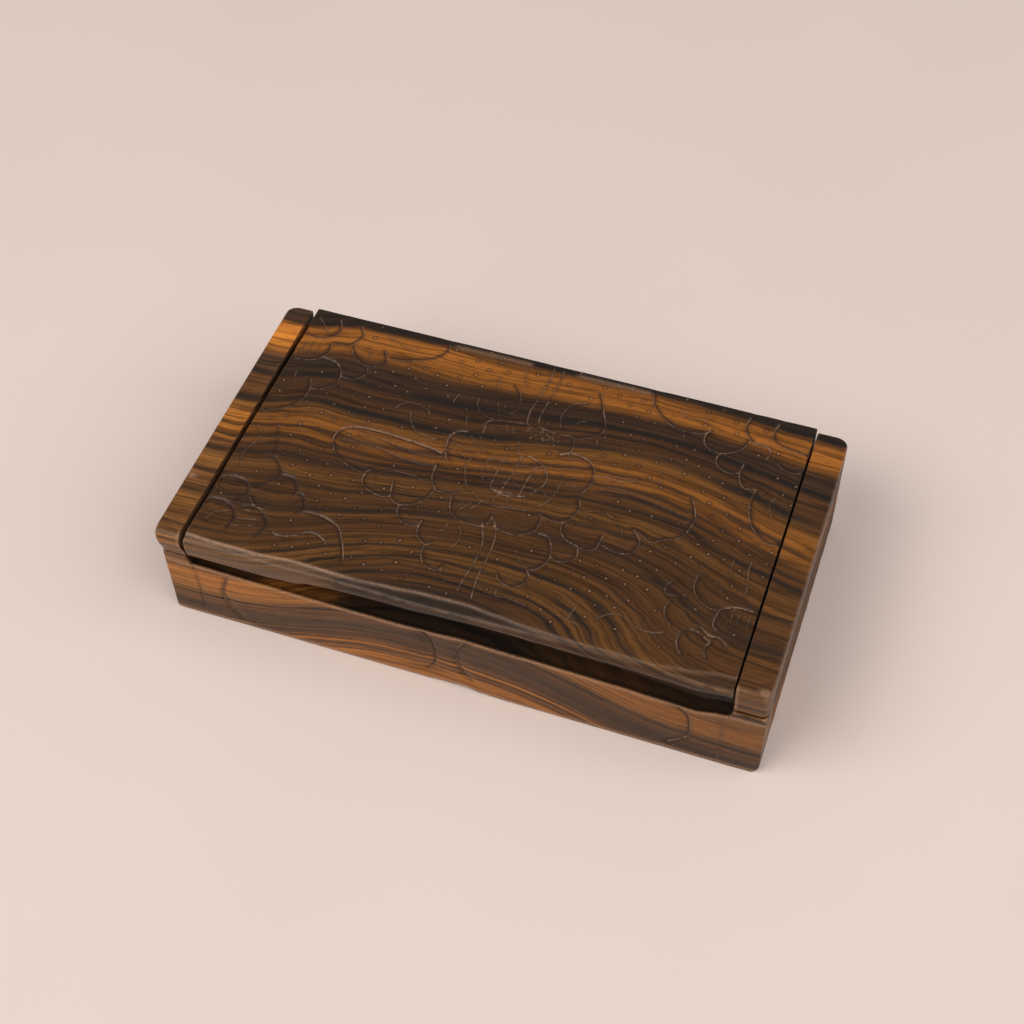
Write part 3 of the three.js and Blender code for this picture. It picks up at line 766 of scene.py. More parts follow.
def tray_rings():
    counts = (int((RIGHT - LEFT) / TRAY_SPACING), int(DEPTH_MM / 0.9), 8)
    outer = rounded_loop((LEFT, FRONT), (RIGHT, BACK), (PLAN_CORNERS["front"], PLAN_CORNERS["back"]),
                         counts)
    inner_low = (LEFT + WALLS["left"], FRONT + WALLS["front"])
    inner_high = (RIGHT - WALLS["right"], BACK - WALLS["back"])
    inner = rounded_loop(inner_low, inner_high, (INNER_CORNER, INNER_CORNER), counts)
    middle = (np.array(inner_low) + inner_high) / 2
    rim, foot = rim_height(outer), foot_height(outer)
    sunk = (rim < RIM - 0.5) & (outer[:, 1] < FRONT + 0.1)
    bevel = np.where(sunk, 0.3, SEAM_BEVEL)
    rings = []

    def ring(plan, height):
        height = np.broadcast_to(height, len(plan))
        rings.append(inside_feet(np.column_stack([plan, height])))

    for share in UNDERSIDE_SHARES:
        ring(outer * share + middle * (1 - share), 0)
    for angle in (0, 30, 60):
        lean, fall = math.sin(math.radians(angle)), math.cos(math.radians(angle))
        ring(towards(outer, inner, FOOT_EDGE * (1 - lean)), foot + FOOT_EDGE * (1 - fall))
    for t in np.linspace(0, 1, 46):
        ring(outer, foot + FOOT_EDGE + t * (rim - bevel - foot - FOOT_EDGE))
    ring(towards(outer, inner, bevel * 0.35), rim - bevel * 0.35)
    for behind in RIM_STEPS:
        plan = towards(outer, inner, bevel + behind)
        ring(plan, rim_height(plan))
    ring(towards(inner, outer, 0.4), RIM)
    ring(towards(inner, outer, 0.08), RIM - 0.12)
    centre = np.broadcast_to(middle, inner.shape)
    wall = RIM - FLOOR - INNER_EDGE - FLOOR_FILLET
    for t in np.linspace(0, 1, 14):
        ring(towards(inner, centre, INNER_EDGE * t), RIM - INNER_EDGE - t * wall)
    for angle in (20, 45, 70):
        lean, fall = math.sin(math.radians(angle)), math.cos(math.radians(angle))
        ring(towards(inner, centre, INNER_EDGE + FLOOR_FILLET * (1 - fall)),
             FLOOR + FLOOR_FILLET * (1 - lean))
    for share in FLOOR_SHARES:
        ring(inner * share + middle * (1 - share), FLOOR)
    return rings


def tray_mesh():
    rings = tray_rings()
    size = len(rings[0])
    vertices = np.vstack(rings)
    faces = grid_faces(len(rings), size, wrap=True)
    faces.append(list(range(size)))
    faces.append(list(range(len(vertices) - size, len(vertices))))
    piece = new_piece("tray_wood", vertices, faces)
    point_outwards(piece)
    points = get_points(piece)
    x, behind = points[:, 0] - LEFT, points[:, 1] - FRONT
    lip, foot = along(LIP_STATIONS, x), along(FOOT_STATIONS, x)
    # The pale lines along the lip and over the foot are worn edges and also painted highlights.
    lip_wear_and_highlight = bell(np.hypot(behind - 0.1, points[:, 2] - lip + 0.1), LIP_LINE)
    foot_wear_and_highlight = bell(np.hypot(behind, points[:, 2] - foot - FOOT_LINE_HEIGHT), FOOT_LINE)
    store(piece, "arris", np.maximum(lip_wear_and_highlight * 0.95, foot_wear_and_highlight * 0.9))
    # The hollow behind the front arris is painted dark: painted shade with some soot.
    in_cove = (behind > 0.7) & (behind < COVE_DEPTH + 0.5) & (points[:, 2] < RIM - 0.3)
    in_cove &= (points[:, 2] > lip - 2) & (x > 8) & (x < 181)
    # Painted shade: a dark line along the lower edge of the front face.
    foot_shade = (behind < 1) * bell(points[:, 2] - foot, FOOT_SHADE_HALF)
    store(piece, "painted_shade_and_dark_marks", np.maximum(in_cove * along(COVE_SHADE_AND_SOOT, x), 0.8 * foot_shade))
    on_front = ease((FRONT + 0.3 - points[:, 1]) / 0.25)
    within = (points[:, 0] > LEFT + WALLS["left"]) & (points[:, 1] > FRONT + WALLS["front"] - 0.2)
    store(piece, "carve", on_front)
    store(piece, "tooled", within & (points[:, 2] > 1) & (points[:, 2] < RIM - 0.7))
    points[:, 1] -= front_swell(points[:, 0]) * ease((4 - behind) / 3)
    set_points(piece, points)
    return piece


# ------------------------------------------------------------------ hinge pins
def pin(name):
    low, high = corners_mm(name)
    radius = (high[2] - low[2]) / 2

    def section(x):
        ends = min(x - low[0], high[0] - x)
        slim = round_over(ends, 0.5) + 0.02 * math.sin(x * 5)
        return arc((HINGE_Y, HINGE_Z), radius - 0.02 - slim * 0.98, 0, 350, 36)

    return loft(name + "_wire", end_stations(low[0], high[0], 0.4, 0.5), section)


# ------------------------------------------------------------------ node wiring
class Wiring:
    """Adds nodes to one tree and connects them, so that a formula reads as nested calls."""

    def __init__(self, tree):
        self.tree = tree

    def node(self, kind, feeds=(), **settings):
        made = self.tree.nodes.new(kind)
        for name, value in settings.items():
            setattr(made, name, value)
        for name, value in dict(feeds).items():
            self.feed(made, name, value)
        return made

    def feed(self, node, name, value):
        if isinstance(name, int):
            socket = node.inputs[name]
        else:
            socket = next(s for s in node.inputs if s.name == name and s.enabled)
        if isinstance(value, bpy.types.NodeSocket):
            self.tree.links.new(value, socket)
        else:
            socket.default_value = value

    def math(self, operation, *values, clamp=False):
        made = self.node("ShaderNodeMath", dict(enumerate(values)), operation=operation)
        made.use_clamp = clamp
        return made.outputs[0]

    def times(self, value, *factors):
        for factor in factors:
            value = self.math("MULTIPLY", value, factor)
        return value

    def plus(self, a, b):
        return self.math("ADD", a, b)

    def minus(self, a, b):
        return self.math("SUBTRACT", a, b)

    def larger(self, a, b):
        return self.math("MAXIMUM", a, b)

    def vector(self, operation, *values):
        made = self.node("ShaderNodeVectorMath", dict(enumerate(values)), operation=operation)
        return made.outputs["Value" if operation in ("DOT_PRODUCT", "LENGTH") else "Vector"]

    def scaled(self, vector, factor):
        made = self.node("ShaderNodeVectorMath", {0: vector, "Scale": factor}, operation="SCALE")
        return made.outputs["Vector"]

    def combine(self, x, y, z):
        return self.node("ShaderNodeCombineXYZ", {0: x, 1: y, 2: z}).outputs[0]

    def separate(self, vector):
        return self.node("ShaderNodeSeparateXYZ", {0: vector}).outputs

    def noise(self, vector, scale=1.0, detail=2.0, roughness=0.5):
        feeds = {"Vector": vector, "Scale": scale, "Detail": detail, "Roughness": roughness}
        return self.node("ShaderNodeTexNoise", feeds).outputs[0]

    def fade(self, value, start, end, low=0.0, high=1.0):
        """Goes smoothly from low to high while the value goes from start to end."""
        feeds = {"Value": value, "From Min": start, "From Max": end, "To Min": low, "To Max": high}
        made = self.node("ShaderNodeMapRange", feeds, interpolation_type="SMOOTHSTEP")
        return made.outputs["Result"]

    def bell(self, offset, width, power=2.0):
        """One in the middle and dying away to either side; a higher power makes it flatter."""
        share = self.math("POWER", self.math("DIVIDE", self.math("ABSOLUTE", offset), width), power)
        return self.math("EXPONENT", self.math("MULTIPLY", share, -1.0))

    def mix(self, factor, a, b, blend_type="MIX"):
        feeds = {"Factor": factor, "A": a, "B": b}
        made = self.node("ShaderNodeMix", feeds, data_type="RGBA", blend_type=blend_type)
        return next(s for s in made.outputs if s.enabled)


def add_sockets(tree, in_out, sockets):
    for name, kind, value in sockets:
        socket = tree.interface.new_socket(name=name, in_out=in_out, socket_type="NodeSocket" + kind)
        if value is not None:
            socket.default_value = value


# ------------------------------------------------------------------ carving by Geometry Nodes
def cut_lines(name, cuts, to_place):
    """The cuts as a loose line mesh, whose points know their tool and the side that stands up."""
    vertices, edges, sides, kinds = [], [], [], []
    for tool, raised, *flat in cuts:
        line = curve_through(np.reshape(flat, (-1, 2)))
        length = np.sum(np.linalg.norm(np.diff(line, axis=0), axis=1))
        line = spaced(line, max(3, int(length / CUT_STEP)))
        run = np.gradient(line, axis=0)
        run /= np.linalg.norm(run, axis=1, keepdims=True)
        turn = {"L": 1, "R": -1, "-": 0}[raised]
        side = turn * np.column_stack([-run[:, 1], run[:, 0]])
        start = len(vertices)
        origin = to_place(np.zeros((1, 2)))
        vertices.extend(to_place(line))
        sides.extend(to_place(side) - origin)
        kinds.extend([tool] * len(line))
        edges.extend((k, k + 1) for k in range(start, start + len(line) - 1))
    mesh = bpy.data.meshes.new(name)
    mesh.from_pydata((np.array(vertices) * MM).tolist(), edges, [])
    layer = mesh.attributes.new("side", "FLOAT_VECTOR", "POINT")
    layer.data.foreach_set("vector", np.array(sides, np.float32).ravel())
    for value, scale in (("depth", MM), ("half", MM), ("relief", MM), ("reach", MM), ("wax", 1)):
        layer = mesh.attributes.new(value, "FLOAT", "POINT")
        layer.data.foreach_set("value", [TOOLS[kind][value] * scale for kind in kinds])
    return placed(name, mesh)


def weave():
    """The short bowed cuts between the bars of the seed head."""
    cuts = []
    for height, bow, spans in WEAVE:
        for start, end in spans:
            middle = (start + end) / 2
            cuts.append(("ray", "-", start, height - bow, middle, height + bow, end, height - bow))
    return cuts


def stipple():
    """Close little marks in the band over the flower, each a short stab of the knife."""
    cuts = []
    for row in range(4):
        for column in range(9):
            x = 93.5 + column * 1.3 + 0.5 * math.sin(4.7 * row + 2.1 * column)
            y = 69.6 + row * 1.15 - 0.12 * column + 0.35 * math.sin(3.1 * row + 5.3 * column)
            cuts.append(("knife", "-", x, y, x + 0.25, y + 0.7))
    return cuts


def carving_tree():
    """Cuts lines into a surface, slopes the surface down to them, most on the motif's side, and punches
    dots in the ground.
    """
    tree = bpy.data.node_groups.new("Carve Surface", "GeometryNodeTree")
    add_sockets(tree, "INPUT", [
        ("Geometry", "Geometry", None), ("Cuts", "Object", None), ("Snap", "Float", 0.25 * MM),
        ("Ground Sink", "Float", 0.1 * MM), ("Ground Share", "Float", 0.25),
        ("Punch Spacing", "Float", 4.5 * MM), ("Punch Density", "Float", 0.0),
        ("Punch Radius", "Float", 0.6 * MM), ("Punch Depth", "Float", 0.22 * MM),
        ("Punch Clearance", "Float", 2.1 * MM), ("Waviness", "Float", 0.06 * MM),
        ("Tool Marks", "Float", 0.3 * MM), ("Seed", "Int", 4), ("Finish", "Material", None),
    ])
    add_sockets(tree, "OUTPUT", [("Geometry", "Geometry", None)])
    w = Wiring(tree)
    given = w.node("NodeGroupInput").outputs
    lines = w.node("GeometryNodeObjectInfo", {"Object": given["Cuts"]}).outputs["Geometry"]
    here = w.node("GeometryNodeInputPosition").outputs[0]
    normal = w.node("GeometryNodeInputNormal").outputs[0]

    def kept(name, data_type="FLOAT"):
        made = w.node("GeometryNodeInputNamedAttribute", {"Name": name}, data_type=data_type)
        return made.outputs["Attribute"]

    def at_line(name, data_type="FLOAT"):
        feeds = {"Geometry": lines, "Value": kept(name, data_type), "Index": nearest}
        return w.node("GeometryNodeSampleIndex", feeds, data_type=data_type).outputs["Value"]

    def with_kept(geometry, name, value, data_type="FLOAT"):
        feeds = {"Geometry": geometry, "Name": name, "Value": value}
        return w.node("GeometryNodeStoreNamedAttribute", feeds, data_type=data_type,
                      domain="POINT").outputs[0]

    def distance_to(geometry, element):
        close = w.node("GeometryNodeProximity", {"Geometry": geometry}, target_element=element)
        far = {"Switch": close.outputs["Is Valid"], "False": 1.0, "True": close.outputs["Distance"]}
        distance = w.node("GeometryNodeSwitch", far, input_type="FLOAT").outputs[0]
        return close.outputs["Position"], distance

    on_line, away = distance_to(lines, "EDGES")
    nearest = w.node("GeometryNodeSampleNearest", {"Geometry": lines}, domain="POINT").outputs[0]
    from_line = w.vector("SUBTRACT", here, on_line)
    lateral = w.vector("DOT_PRODUCT", from_line, at_line("side", "FLOAT_VECTOR"))
    carve = kept("carve")
    is_carved = w.math("GREATER_THAN", carve, 0.5)

    # Points beside a cut are drawn onto it, so that its bottom is sharp.
    by_line = w.times(w.math("LESS_THAN", away, given["Snap"]), is_carved)
    with_normal = with_kept(given["Geometry"], "outwards", normal, "FLOAT_VECTOR")
    snapped = w.node("GeometryNodeSetPosition", {
        "Geometry": with_normal, "Selection": by_line, "Position": on_line,
    }).outputs[0]
    outwards = kept("outwards", "FLOAT_VECTOR")

    # Punched dots lie in the open ground, clear of the cuts and of what they enclose.
    open_ground = w.math("GREATER_THAN", carve, 0.97)
    strewn = w.node("GeometryNodeDistributePointsOnFaces", {
        "Mesh": given["Geometry"], "Selection": open_ground, "Distance Min": given["Punch Spacing"],
        "Density Max": given["Punch Density"], "Seed": given["Seed"],
    }, distribute_method="POISSON").outputs["Points"]
    by_cut = w.math("LESS_THAN", away, given["Punch Clearance"])
    in_motif = w.math("GREATER_THAN", lateral, 0.2 * MM)
    barred = w.larger(by_cut, in_motif)
    dots = w.node("GeometryNodeDeleteGeometry", {"Geometry": strewn, "Selection": barred}).outputs[0]
    from_dot = distance_to(dots, "POINTS")[1]

    current = snapped
    for name, value in (("cut_mm", away), ("inward_mm", lateral), ("dot_mm", from_dot)):
        current = with_kept(current, name, w.times(value, 1 / MM))
    current = with_kept(current, "wax", at_line("wax"))

    # A motif slopes down to the cut round it; the ground falls less, and both die away with distance.
    share = w.math("DIVIDE", away, at_line("reach"))
    falls = w.bell(share, 1.0)
    is_motif = w.math("GREATER_THAN", lateral, 0.02 * MM)
    beside = w.fade(is_motif, 0.0, 1.0, given["Ground Share"], 1.0)
    relief = w.times(falls, beside, w.times(at_line("relief"), -1.0))
    calm = w.fade(away, 0.1 * MM, 0.8 * MM, 0.15, 1.0)
    soft = w.node("GeometryNodeBlurAttribute", {
        "Value": relief, "Iterations": 4, "Weight": calm,
    }, data_type="FLOAT").outputs[0]
    flank = w.math("SUBTRACT", 1.0, w.math("DIVIDE", away, at_line("half")), clamp=True)
    groove = w.times(flank, at_line("depth"))
    pit = w.fade(from_dot, 0.0, given["Punch Radius"], 1.0, 0.0)
    dug = w.plus(groove, w.times(pit, given["Punch Depth"]))
    level = w.minus(w.minus(soft, dug), given["Ground Sink"])
    carved = w.times(w.math("MINIMUM", level, 0.0), carve)

    # No face is flat: a plane's waviness outside, a gouge's scallops inside.
    wave = w.minus(w.noise(here, 90.0, 1.0), 0.75)
    scallop = w.minus(w.noise(here, 170.0, 0.0), 0.7)
    marks = w.times(scallop, kept("tooled"), given["Tool Marks"])
    hand = w.plus(w.times(wave, given["Waviness"]), marks)
    offset = w.scaled(outwards, w.plus(carved, w.math("MINIMUM", hand, 0.0)))
    moved = w.node("GeometryNodeSetPosition", {"Geometry": current, "Offset": offset}).outputs[0]
    real = w.node("GeometryNodeRealizeInstances", {"Geometry": moved}).outputs[0]
    done = w.node("GeometryNodeSetMaterial", {"Geometry": real, "Material": given["Finish"]}).outputs[0]
    w.node("NodeGroupOutput", {"Geometry": done})
    return tree


def finished_by(tree, piece, settings):
    """Runs a tree on a piece and leaves the result as the piece's own plain mesh."""
    modifier = piece.modifiers.new(tree.name, "NODES")
    modifier.node_group = tree
    for socket in tree.interface.items_tree:
        if socket.in_out == "INPUT" and socket.name in settings:
            modifier[socket.identifier] = settings[socket.name]
    graph = bpy.context.evaluated_depsgraph_get()
    mesh = bpy.data.meshes.new_from_object(piece.evaluated_get(graph), depsgraph=graph)
    piece.modifiers.remove(modifier)
    piece.data = mesh
    return piece


def keep_inside(piece):
    """Draws any point that strays past the object's box back onto it."""
    low, high = (np.array(corner) / MM for corner in CAD_BOUNDS)
    set_points(piece, np.clip(get_points(piece), low, high))


def mark_wear(piece):
    """Stores how sharply the surface bends outwards or inwards at each point."""
    mesh = piece.data
    points = get_points(piece)
    edges = np.empty(len(mesh.edges) * 2, np.int32)
    mesh.edges.foreach_get("vertices", edges)
    a, b = edges.reshape(-1, 2).T
    normals = np.empty(len(mesh.vertices) * 3, np.float32)
    mesh.vertices.foreach_get("normal", normals)
    normals = normals.reshape(-1, 3)
    count = np.maximum(np.bincount(a, minlength=len(points)) + np.bincount(b, minlength=len(points)), 1)

    def around(values):
        total = np.bincount(a, values[b], len(points)) + np.bincount(b, values[a], len(points))
        return total / count

    mean = np.column_stack([around(points[:, k]) for k in range(3)])
    proud = np.sum((points - mean) * normals, axis=1)
    length = np.sum((points[a] - points[b]) ** 2, axis=1)
    spacing = (np.bincount(a, length, len(points)) + np.bincount(b, length, len(points))) / count
    bend = 2 * proud / np.maximum(spacing, 0.02)
    for _ in range(2):
        bend = 0.5 * bend + 0.5 * around(bend)
    store(piece, "proud", np.clip((bend - 0.15) / 0.4, 0, 1))
    store(piece, "sunk", np.clip((-bend - 0.05) / 0.4, 0, 1))


# ------------------------------------------------------------------ striped ebony
# Linear colours: the wood from its brightest stripe to its black streaks, then painted shade beside the
# cuts, wax, and rubbed wood that also stands for painted highlights.
AMBER = (0.385, 0.130, 0.018)
FLAME = (0.262, 0.092, 0.014)
HONEY = (0.155, 0.062, 0.013)
UMBER = (0.094, 0.036, 0.010)
SMOKE = (0.044, 0.023, 0.011)
EBONY = (0.009, 0.007, 0.006)
SHADE = (0.024, 0.009, 0.005)
WAX = (0.290, 0.180, 0.108)
RUBBED_AND_HIGHLIT = (0.330, 0.185, 0.105)

# The stripes are layers, counted in millimetres up through the wood from the tray's front foot:
# (layer, colour) for the broad ones, (layer, half width, darkness) for the streaks between them.
LAYERS = [(-16, FLAME), (-9, FLAME), (-6.5, UMBER), (-4.5, FLAME), (-2, UMBER), (4, SMOKE),
          (9.5, UMBER), (12.5, HONEY), (20, FLAME), (26, HONEY), (28.5, UMBER), (32, HONEY),
          (35.5, HONEY), (38.5, HONEY), (44, UMBER), (48, HONEY), (52, UMBER), (57, HONEY),
          (60.5, UMBER), (64.3, FLAME), (67.5, FLAME), (70.2, HONEY), (72, UMBER), (76, UMBER),
          (79, SMOKE), (81, UMBER), (83, AMBER), (86.7, AMBER), (88.2, UMBER), (90, SMOKE), (100, SMOKE)]
STREAKS = [(-12.5, 0.5, 0.6), (-8.2, 0.45, 0.8), (-5.6, 0.4, 0.9), (-3.2, 0.5, 0.8), (-0.5, 0.6, 0.6),
           (11, 0.75, 1), (23, 0.4, 0.3), (29.1, 0.5, 0.85), (30.9, 0.4, 0.8), (33.8, 0.55, 0.95),
           (37.6, 0.5, 0.85), (42, 0.4, 0.4), (49.0, 1.2, 0.85), (54.5, 0.4, 0.6), (60, 0.5, 0.85),
           (61.7, 0.4, 0.8), (63.1, 0.4, 0.75), (65.6, 0.45, 0.8), (71, 0.8, 1), (74.3, 0.45, 0.7),
           (76.8, 0.9, 1), (80, 0.5, 0.5), (88.9, 1.0, 1)]
LAYER_SPAN = (-16, 100)

# How the layers lie: their rise towards the back and to the right, the bow that takes them down in
# the middle of the front, the swirl behind it, and the curl at the left end, all in millimetres.
RISE_BACK = 0.48
RISE_RIGHT = 0.008
BOW = {"middle": 92.0, "lean": 0.6, "half": 51.4, "reach": 38.0, "drop": 17.0}
SWIRL = {"x": 135.0, "y": 68.0, "half_x": 39.6, "half_y": 23.6, "drop": 6.0}
CURL = {"from": 3.0, "to": 30.0, "rise": 2.8, "starts": 12.0, "full": 35.0}


def colour_ramp(w, value, stops):
    ramp = w.node("ShaderNodeValToRGB", {0: value})
    elements = ramp.color_ramp.elements
    while len(elements) < len(stops):
        elements.new(1)
    for element, (place, colour) in zip(elements, stops):
        element.position = place
        element.color = (*colour, 1)
    return ramp.outputs[0]


def ebony_group():
    """The stripes of the wood, as colour, darkness and the fine relief of its pores."""
    tree = bpy.data.node_groups.new("Striped Ebony", "ShaderNodeTree")
    # The lightness of each piece is partly its wood's tone and partly painted light; the share at the
    # right end is painted shade.
    add_sockets(tree, "INPUT", [("Streaks", "Float", 0.9), ("Fine Lines", "Float", 1.0),
                                ("Wander", "Float", 1.0), ("Lightness", "Float", 1.0),
                                ("Painted Light At Right", "Float", 1.0)])
    add_sockets(tree, "OUTPUT", [("Color", "Color", None), ("Dark", "Float", None),
                                 ("Height", "Float", None)])
    w = Wiring(tree)
    given = w.node("NodeGroupInput").outputs
    object_place = w.node("ShaderNodeTexCoord").outputs["Object"]
    place = w.vector("ADD", w.scaled(object_place, 1 / MM), (-LEFT, -FRONT, 0))
    x, y, z = w.separate(place)

    bow_middle = w.math("MULTIPLY_ADD", y, BOW["lean"], BOW["middle"])
    bow = w.times(w.bell(w.minus(x, bow_middle), BOW["half"], 3.0), w.bell(y, BOW["reach"]))
    swirl = w.times(w.bell(w.minus(x, SWIRL["x"]), SWIRL["half_x"]),
                    w.bell(w.minus(y, SWIRL["y"]), SWIRL["half_y"]))
    slope = w.plus(z, w.math("MULTIPLY_ADD", y, RISE_BACK, w.times(x, RISE_RIGHT)))
    swirled = w.times(swirl, SWIRL["drop"])
    bent = w.minus(slope, w.math("MULTIPLY_ADD", bow, BOW["drop"], swirled))
    curl = w.times(w.fade(x, CURL["from"], CURL["to"], CURL["rise"], 0.0),
                   w.fade(y, CURL["starts"], CURL["full"]))
    flow = w.plus(bent, curl)
    broad = w.noise(w.vector("MULTIPLY", place, (0.014, 0.03, 0.03)), 1.0, 2.0)
    close = w.noise(w.vector("MULTIPLY", place, (0.06, 0.3, 0.3)), 1.0, 2.0)
    broad_shift = w.times(w.minus(broad, 0.5), 2.0)
    shift = w.math("MULTIPLY_ADD", w.minus(close, 0.5), 1.2, broad_shift)
    grain = w.math("MULTIPLY_ADD", shift, given["Wander"], flow)

    low, high = LAYER_SPAN
    share = w.math("DIVIDE", w.minus(grain, float(low)), float(high - low))
    stops = [((layer - low) / (high - low), colour) for layer, colour in LAYERS]
    layered = colour_ramp(w, share, stops)

    streak = 0.0
    for layer, half, darkness in STREAKS:
        one = w.times(w.bell(w.minus(grain, float(layer)), half, 2.4), darkness)
        streak = w.larger(one, streak)
    in_heart = w.times(w.fade(grain, 15.5, 18.0), w.fade(grain, 26.0, 28.5, 1.0, 0.0))
    heart = w.times(w.bell(w.minus(x, 93.0), 38.0, 4.0), in_heart)
    fading = w.noise(w.vector("MULTIPLY", place, (0.035, 0.12, 0.12)), 1.0, 1.0)
    streak = w.times(streak, w.fade(fading, 0.3, 0.55, 0.6, 1.0))
    dark = w.times(w.larger(streak, w.times(heart, 0.8)), given["Streaks"])

    # Fine lines follow the layers; the finest are drawn out along the wood.
    thin_place = w.combine(w.times(x, 0.01), grain, 5.0)
    hair_place = w.combine(w.times(x, 0.05), w.times(grain, 4.5), w.times(y, 0.25))
    vein_place = w.combine(w.times(x, 0.012), w.times(grain, 0.55), w.times(y, 0.02))
    thin = w.noise(thin_place, 1.0, 4.0, 0.7)
    hair = w.noise(hair_place, 1.0, 2.0, 0.6)
    vein = w.bell(w.minus(w.noise(vein_place, 1.0, 1.5, 0.6), 0.5), 0.035)
    pore = w.noise(w.vector("MULTIPLY", place, (0.3, 3.6, 3.6)), 1.0, 0.0)
    pores = w.fade(pore, 0.66, 0.76)
    lines = w.times(w.fade(thin, 0.36, 0.66, 1.22, 0.62), w.fade(hair, 0.3, 0.7, 1.1, 0.86))
    lines = w.math("MULTIPLY_ADD", w.minus(lines, 1.0), given["Fine Lines"], 1.0)
    lines = w.times(lines, w.math("MULTIPLY_ADD", pores, -0.35, 1.0))
    lines = w.times(lines, w.math("MULTIPLY_ADD", vein, -0.5, 1.0))
    # Painted light: each piece's brightness, and painted shade that darkens the wood towards the right
    # end.
    tone_and_painted_light = w.times(given["Lightness"], w.fade(x, 0.0, 190.0, 1.0, given["Painted Light At Right"]))
    lined = w.scaled(layered, w.times(lines, tone_and_painted_light))
    colour = w.mix(dark, lined, (*EBONY, 1))
    height = w.minus(w.times(hair, 0.5), pores)
    w.node("NodeGroupOutput", {"Color": colour, "Dark": dark, "Height": height})
    return tree


def wax_wear_and_painted_light_group():
    """What years of handling add: pale wax in the cuts, punched dots, rubbed edges, grimy hollows; with
    painted shade and highlights.
    """
    tree = bpy.data.node_groups.new("Worn Wax And Painted Light", "ShaderNodeTree")
    add_sockets(tree, "INPUT", [
        ("Color", "Color", None), ("Wax In Cuts", "Float", 1.0), ("Rubbed Edges", "Float", 0.5),
        ("Hollow Darkening", "Float", 0.5), ("Sheen Of Wax", "Float", 0.4),
    ])
    add_sockets(tree, "OUTPUT", [("Color", "Color", None), ("Roughness", "Float", None),
                                 ("Height", "Float", None)])
    w = Wiring(tree)
    given = w.node("NodeGroupInput").outputs

    def kept(name):
        return w.node("ShaderNodeAttribute", attribute_name=name).outputs["Fac"]

    cut, inward, dot, wax = kept("cut_mm"), kept("inward_mm"), kept("dot_mm"), kept("wax")
    proud, sunk, tooled = kept("proud"), kept("sunk"), kept("tooled")
    arris, painted_shade_and_dark_marks = kept("arris"), kept("painted_shade_and_dark_marks")
    place = w.scaled(w.node("ShaderNodeTexCoord").outputs["Object"], 1 / MM)
    patchy = w.noise(place, 0.35, 3.0, 0.6)
    crumbs = w.noise(place, 1.6, 2.0, 0.6)

    outer_cut = w.times(cut, w.fade(inward, -0.1, 0.15, 1.0, 1.9))
    line = w.times(w.fade(outer_cut, 0.1, 0.36, 1.0, 0.0), w.fade(crumbs, 0.32, 0.56, 0.25, 1.0),
                   w.fade(patchy, 0.4, 0.6, 0.25, 1.0))
    waxed = w.times(line, wax, given["Wax In Cuts"])
    # Painted shade: the motif's side of each cut is darkened, and a dark ring is painted round each
    # punched dot.
    inner_side = w.fade(inward, 0.02, 0.2, 0.2, 0.78)
    beside = w.times(w.fade(cut, 0.2, 1.6, 1.0, 0.0), inner_side)
    rim = w.times(w.bell(w.minus(dot, 0.75), 0.3), 0.5)
    speck = w.times(w.fade(dot, 0.22, 0.55, 1.0, 0.0), w.fade(patchy, 0.36, 0.62, 0.15, 0.8))
    # Hollows are darkened; the stored marks are painted shade under the nose, in the gaps, the cove and
    # at the foot, with grime, soot and dark wood.
    shaded_and_soiled = w.larger(w.times(sunk, given["Hollow Darkening"], 0.8), w.times(painted_shade_and_dark_marks, 0.85))
    clear_of_cuts = w.fade(cut, 0.6, 2.2, 0.12, 1.0)
    worn = w.times(proud, w.fade(patchy, 0.35, 0.6, 0.2, 1.0),
                   w.times(given["Rubbed Edges"], clear_of_cuts))
    # The arris marks are worn wood, and also painted highlights on the crest, lip and foot and painted
    # sheen on the nose.
    worn_and_highlit_arris = w.times(arris, w.fade(crumbs, 0.3, 0.6, 0.35, 0.9))
    rubbed_and_highlit = w.larger(worn, worn_and_highlit_arris)

    # Painted shade beside the cuts and round the dots.
    colour = w.mix(w.larger(beside, rim), given["Color"], (*SHADE, 1))
    # Darkening towards ebony: painted shade, grime, dark wood and darker hollows.
    colour = w.mix(shaded_and_soiled, colour, (*EBONY, 1))
    colour = w.mix(rubbed_and_highlit, colour, (*RUBBED_AND_HIGHLIT, 1))
    pale = w.larger(waxed, speck)
    colour = w.mix(pale, colour, (*WAX, 1))
    matt = w.math("MULTIPLY_ADD", tooled, 0.28, w.times(pale, 0.2))
    gloss = w.math("MULTIPLY_ADD", patchy, 0.24, w.minus(given["Sheen Of Wax"], 0.1))
    roughness = w.math("ADD", w.plus(gloss, matt), w.times(sunk, 0.12), clamp=True)
    height = w.math("MULTIPLY_ADD", line, -0.6, w.times(crumbs, 0.12))
    w.node("NodeGroupOutput", {"Color": colour, "Roughness": roughness, "Height": height})
    return tree


def new_material(name):
    """A material, the wiring of its nodes, and its Principled shader."""
    material = bpy.data.materials.new(name)
    material.use_nodes = True
    return material, Wiring(material.node_tree), material.node_tree.nodes["Principled BSDF"]


